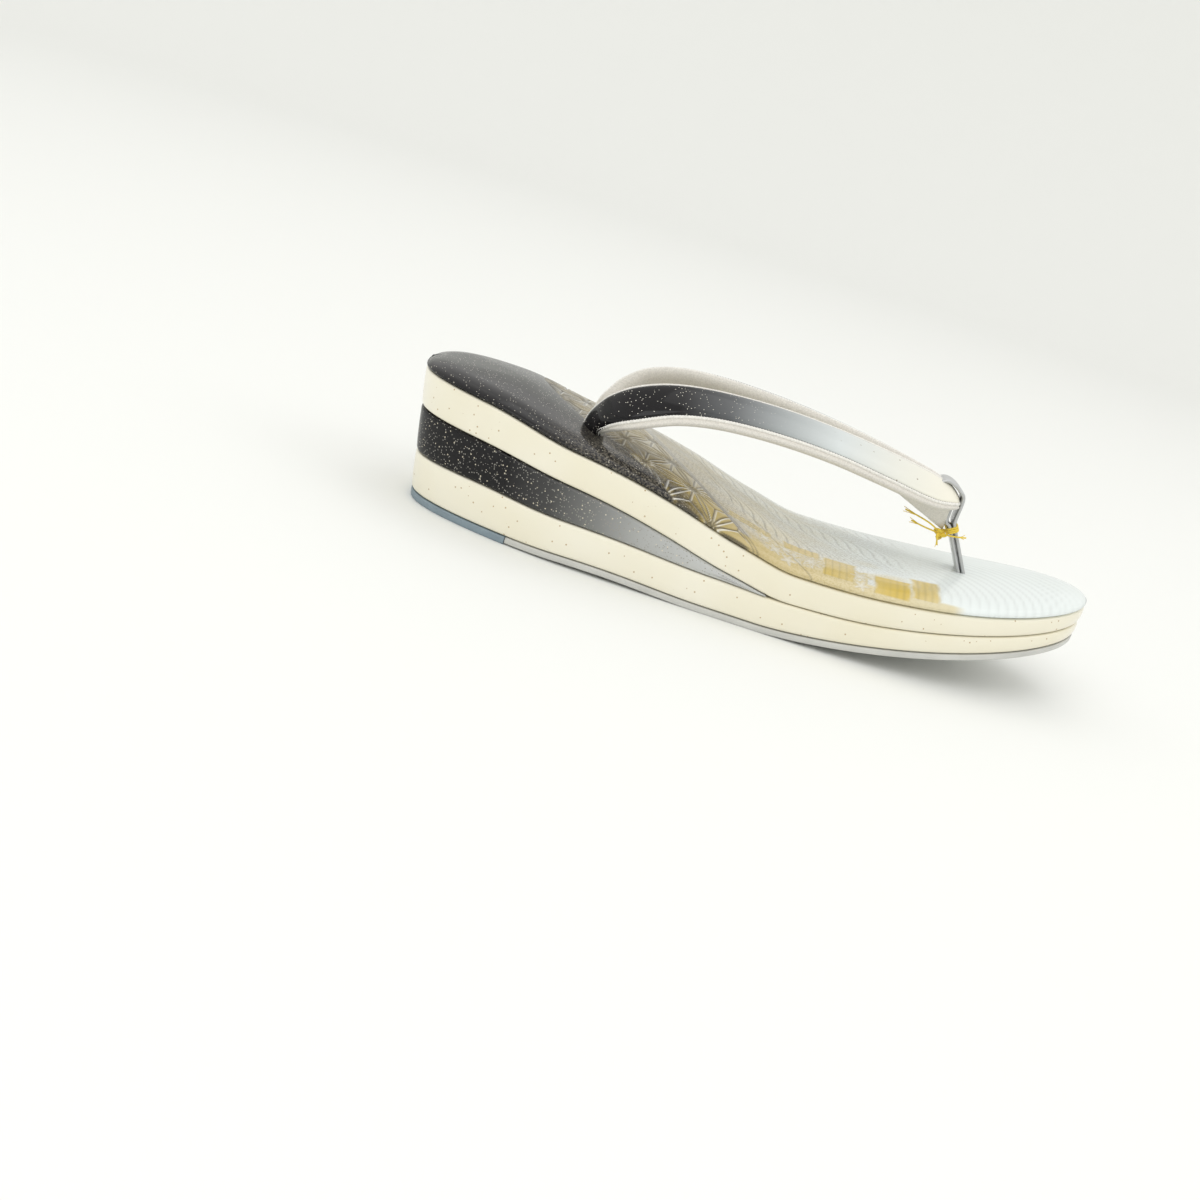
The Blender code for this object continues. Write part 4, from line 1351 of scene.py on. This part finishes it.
class SANDAL_OT_straps(bpy.types.Operator):
    """Make the straps: enamel face, painted shade line along its edges, ribbed piping, lining and the
    pinched web
    """

    bl_idname = "sandal.straps"
    bl_label = "Straps"

    def execute(self, context):
        sizes, colours = context.scene.sandal_sizes, context.scene.sandal_colours
        frames = strap_frames()
        arc = [math.pi * k / 18 for k in range(19)]
        enamel = strap_body("strap_enamel_face", frames, enamel_profile(arc), strap_finish())
        dress(enamel, "strap_enamel", "straps")
        cloth = cloth_finish("strap_lining_cloth", colours.lining)
        lining = strap_body("strap_lining", frames, lining_profile(arc), cloth, LINING_TUCK)
        dress(lining, "strap_enamel", "straps")
        piping, seams = strap_edges(frames, sizes.piping_diameter, sizes.piping_pitch)
        white = cloth_finish("strap_piping_cloth", (0.88, 0.86, 0.81), 1500.0)
        dress(joined("strap_piping", piping, white), "strap_enamel", "straps")
        # Painted shade: a near-black tube along the enamel's edges, where the gap to the piping falls
        # in shadow.
        dark = plain_finish("strap_painted_shade", (0.05, 0.048, 0.045), 0.7)
        dress(joined("strap_painted_shade_line", seams, dark), "strap_enamel", "straps")
        web = joined(
            "strap_lining_web", [loft_bmesh(web_rings(frames, side)) for side in (1.0, -1.0)], cloth
        )
        dress(web, "strap_enamel", "straps")
        return {"FINISHED"}


class SANDAL_OT_toe_loop(bpy.types.Operator):
    """Make the silver leather strip over the nose"""

    bl_idname = "sandal.toe_loop"
    bl_label = "Toe loop"

    def execute(self, context):
        leather = plain_finish(
            "loop_silver_leather", (0.52, 0.53, 0.53), 0.30, metallic=0.55, coat=0.2, grain=1100.0
        )
        dress(loft("dressed_toe_loop", strip_rings(), leather), "loop_leather", "toe_loop")
        return {"FINISHED"}


class SANDAL_OT_thread_tie(bpy.types.Operator):
    """Make the gold thread: its turns, its knot and its frayed ends"""

    bl_idname = "sandal.thread_tie"
    bl_label = "Thread tie"

    def execute(self, context):
        parts = thread_parts(context.scene.sandal_sizes.thread_diameter)
        colour = tuple(context.scene.sandal_colours.thread)
        silk = cloth_finish("tie_gold_thread", colour, 3000.0)
        dress(joined("dressed_thread_tie", parts, silk), "gold_thread", "thread_tie")
        return {"FINISHED"}


class SANDAL_OT_stage(bpy.types.Operator):
    """Make the floor, the soft lights and the camera"""

    bl_idname = "sandal.stage"
    bl_label = "Stage"

    def execute(self, context):
        paper = Finish("stage_paper", roughness=0.75, specular=0.1)
        paper.colour((0.865, 0.875, 0.855))
        loft("floor", backdrop_rings(), paper.material)
        world = bpy.data.worlds.new("soft_room")
        world.use_nodes = True
        sky = world.node_tree.nodes["Background"]
        sky.inputs["Color"].default_value = (1.0, 0.99, 0.965, 1.0)
        sky.inputs["Strength"].default_value = 0.96
        scene = context.scene
        scene.world = world
        scene.view_settings.view_transform = "Standard"
        for row in SOFT_LIGHTS:
            scene.collection.objects.link(soft_light(*row))
        scene.camera = photo_camera()
        scene.collection.objects.link(scene.camera)
        return {"FINISHED"}


STEPS = (
    SANDAL_OT_stage, SANDAL_OT_sole, SANDAL_OT_footbed, SANDAL_OT_straps, SANDAL_OT_toe_loop,
    SANDAL_OT_thread_tie,
)


class SANDAL_PT_panel(bpy.types.Panel):
    """Lists the sandal's pieces in the order in which they are made"""

    bl_idname = "SANDAL_PT_panel"
    bl_label = "Kimono sandal"
    bl_space_type = "VIEW_3D"
    bl_region_type = "UI"
    bl_category = "Sandal"

    def draw(self, context):
        for step in STEPS:
            self.layout.operator(step.bl_idname)


CLASSES = (SandalSizes, SandalColours, *STEPS, SANDAL_PT_panel)


def register():
    for kind in CLASSES:
        bpy.utils.register_class(kind)
    bpy.types.Scene.sandal_sizes = bpy.props.PointerProperty(type=SandalSizes)
    bpy.types.Scene.sandal_colours = bpy.props.PointerProperty(type=SandalColours)


def unregister():
    del bpy.types.Scene.sandal_colours
    del bpy.types.Scene.sandal_sizes
    for kind in reversed(CLASSES):
        bpy.utils.unregister_class(kind)


def main():
    register()
    bpy.ops.sandal.stage()
    bpy.ops.sandal.sole()
    bpy.ops.sandal.footbed()
    bpy.ops.sandal.straps()
    bpy.ops.sandal.toe_loop()
    bpy.ops.sandal.thread_tie()
    bpy.context.view_layer.update()


if __name__ == "__main__":
    main()
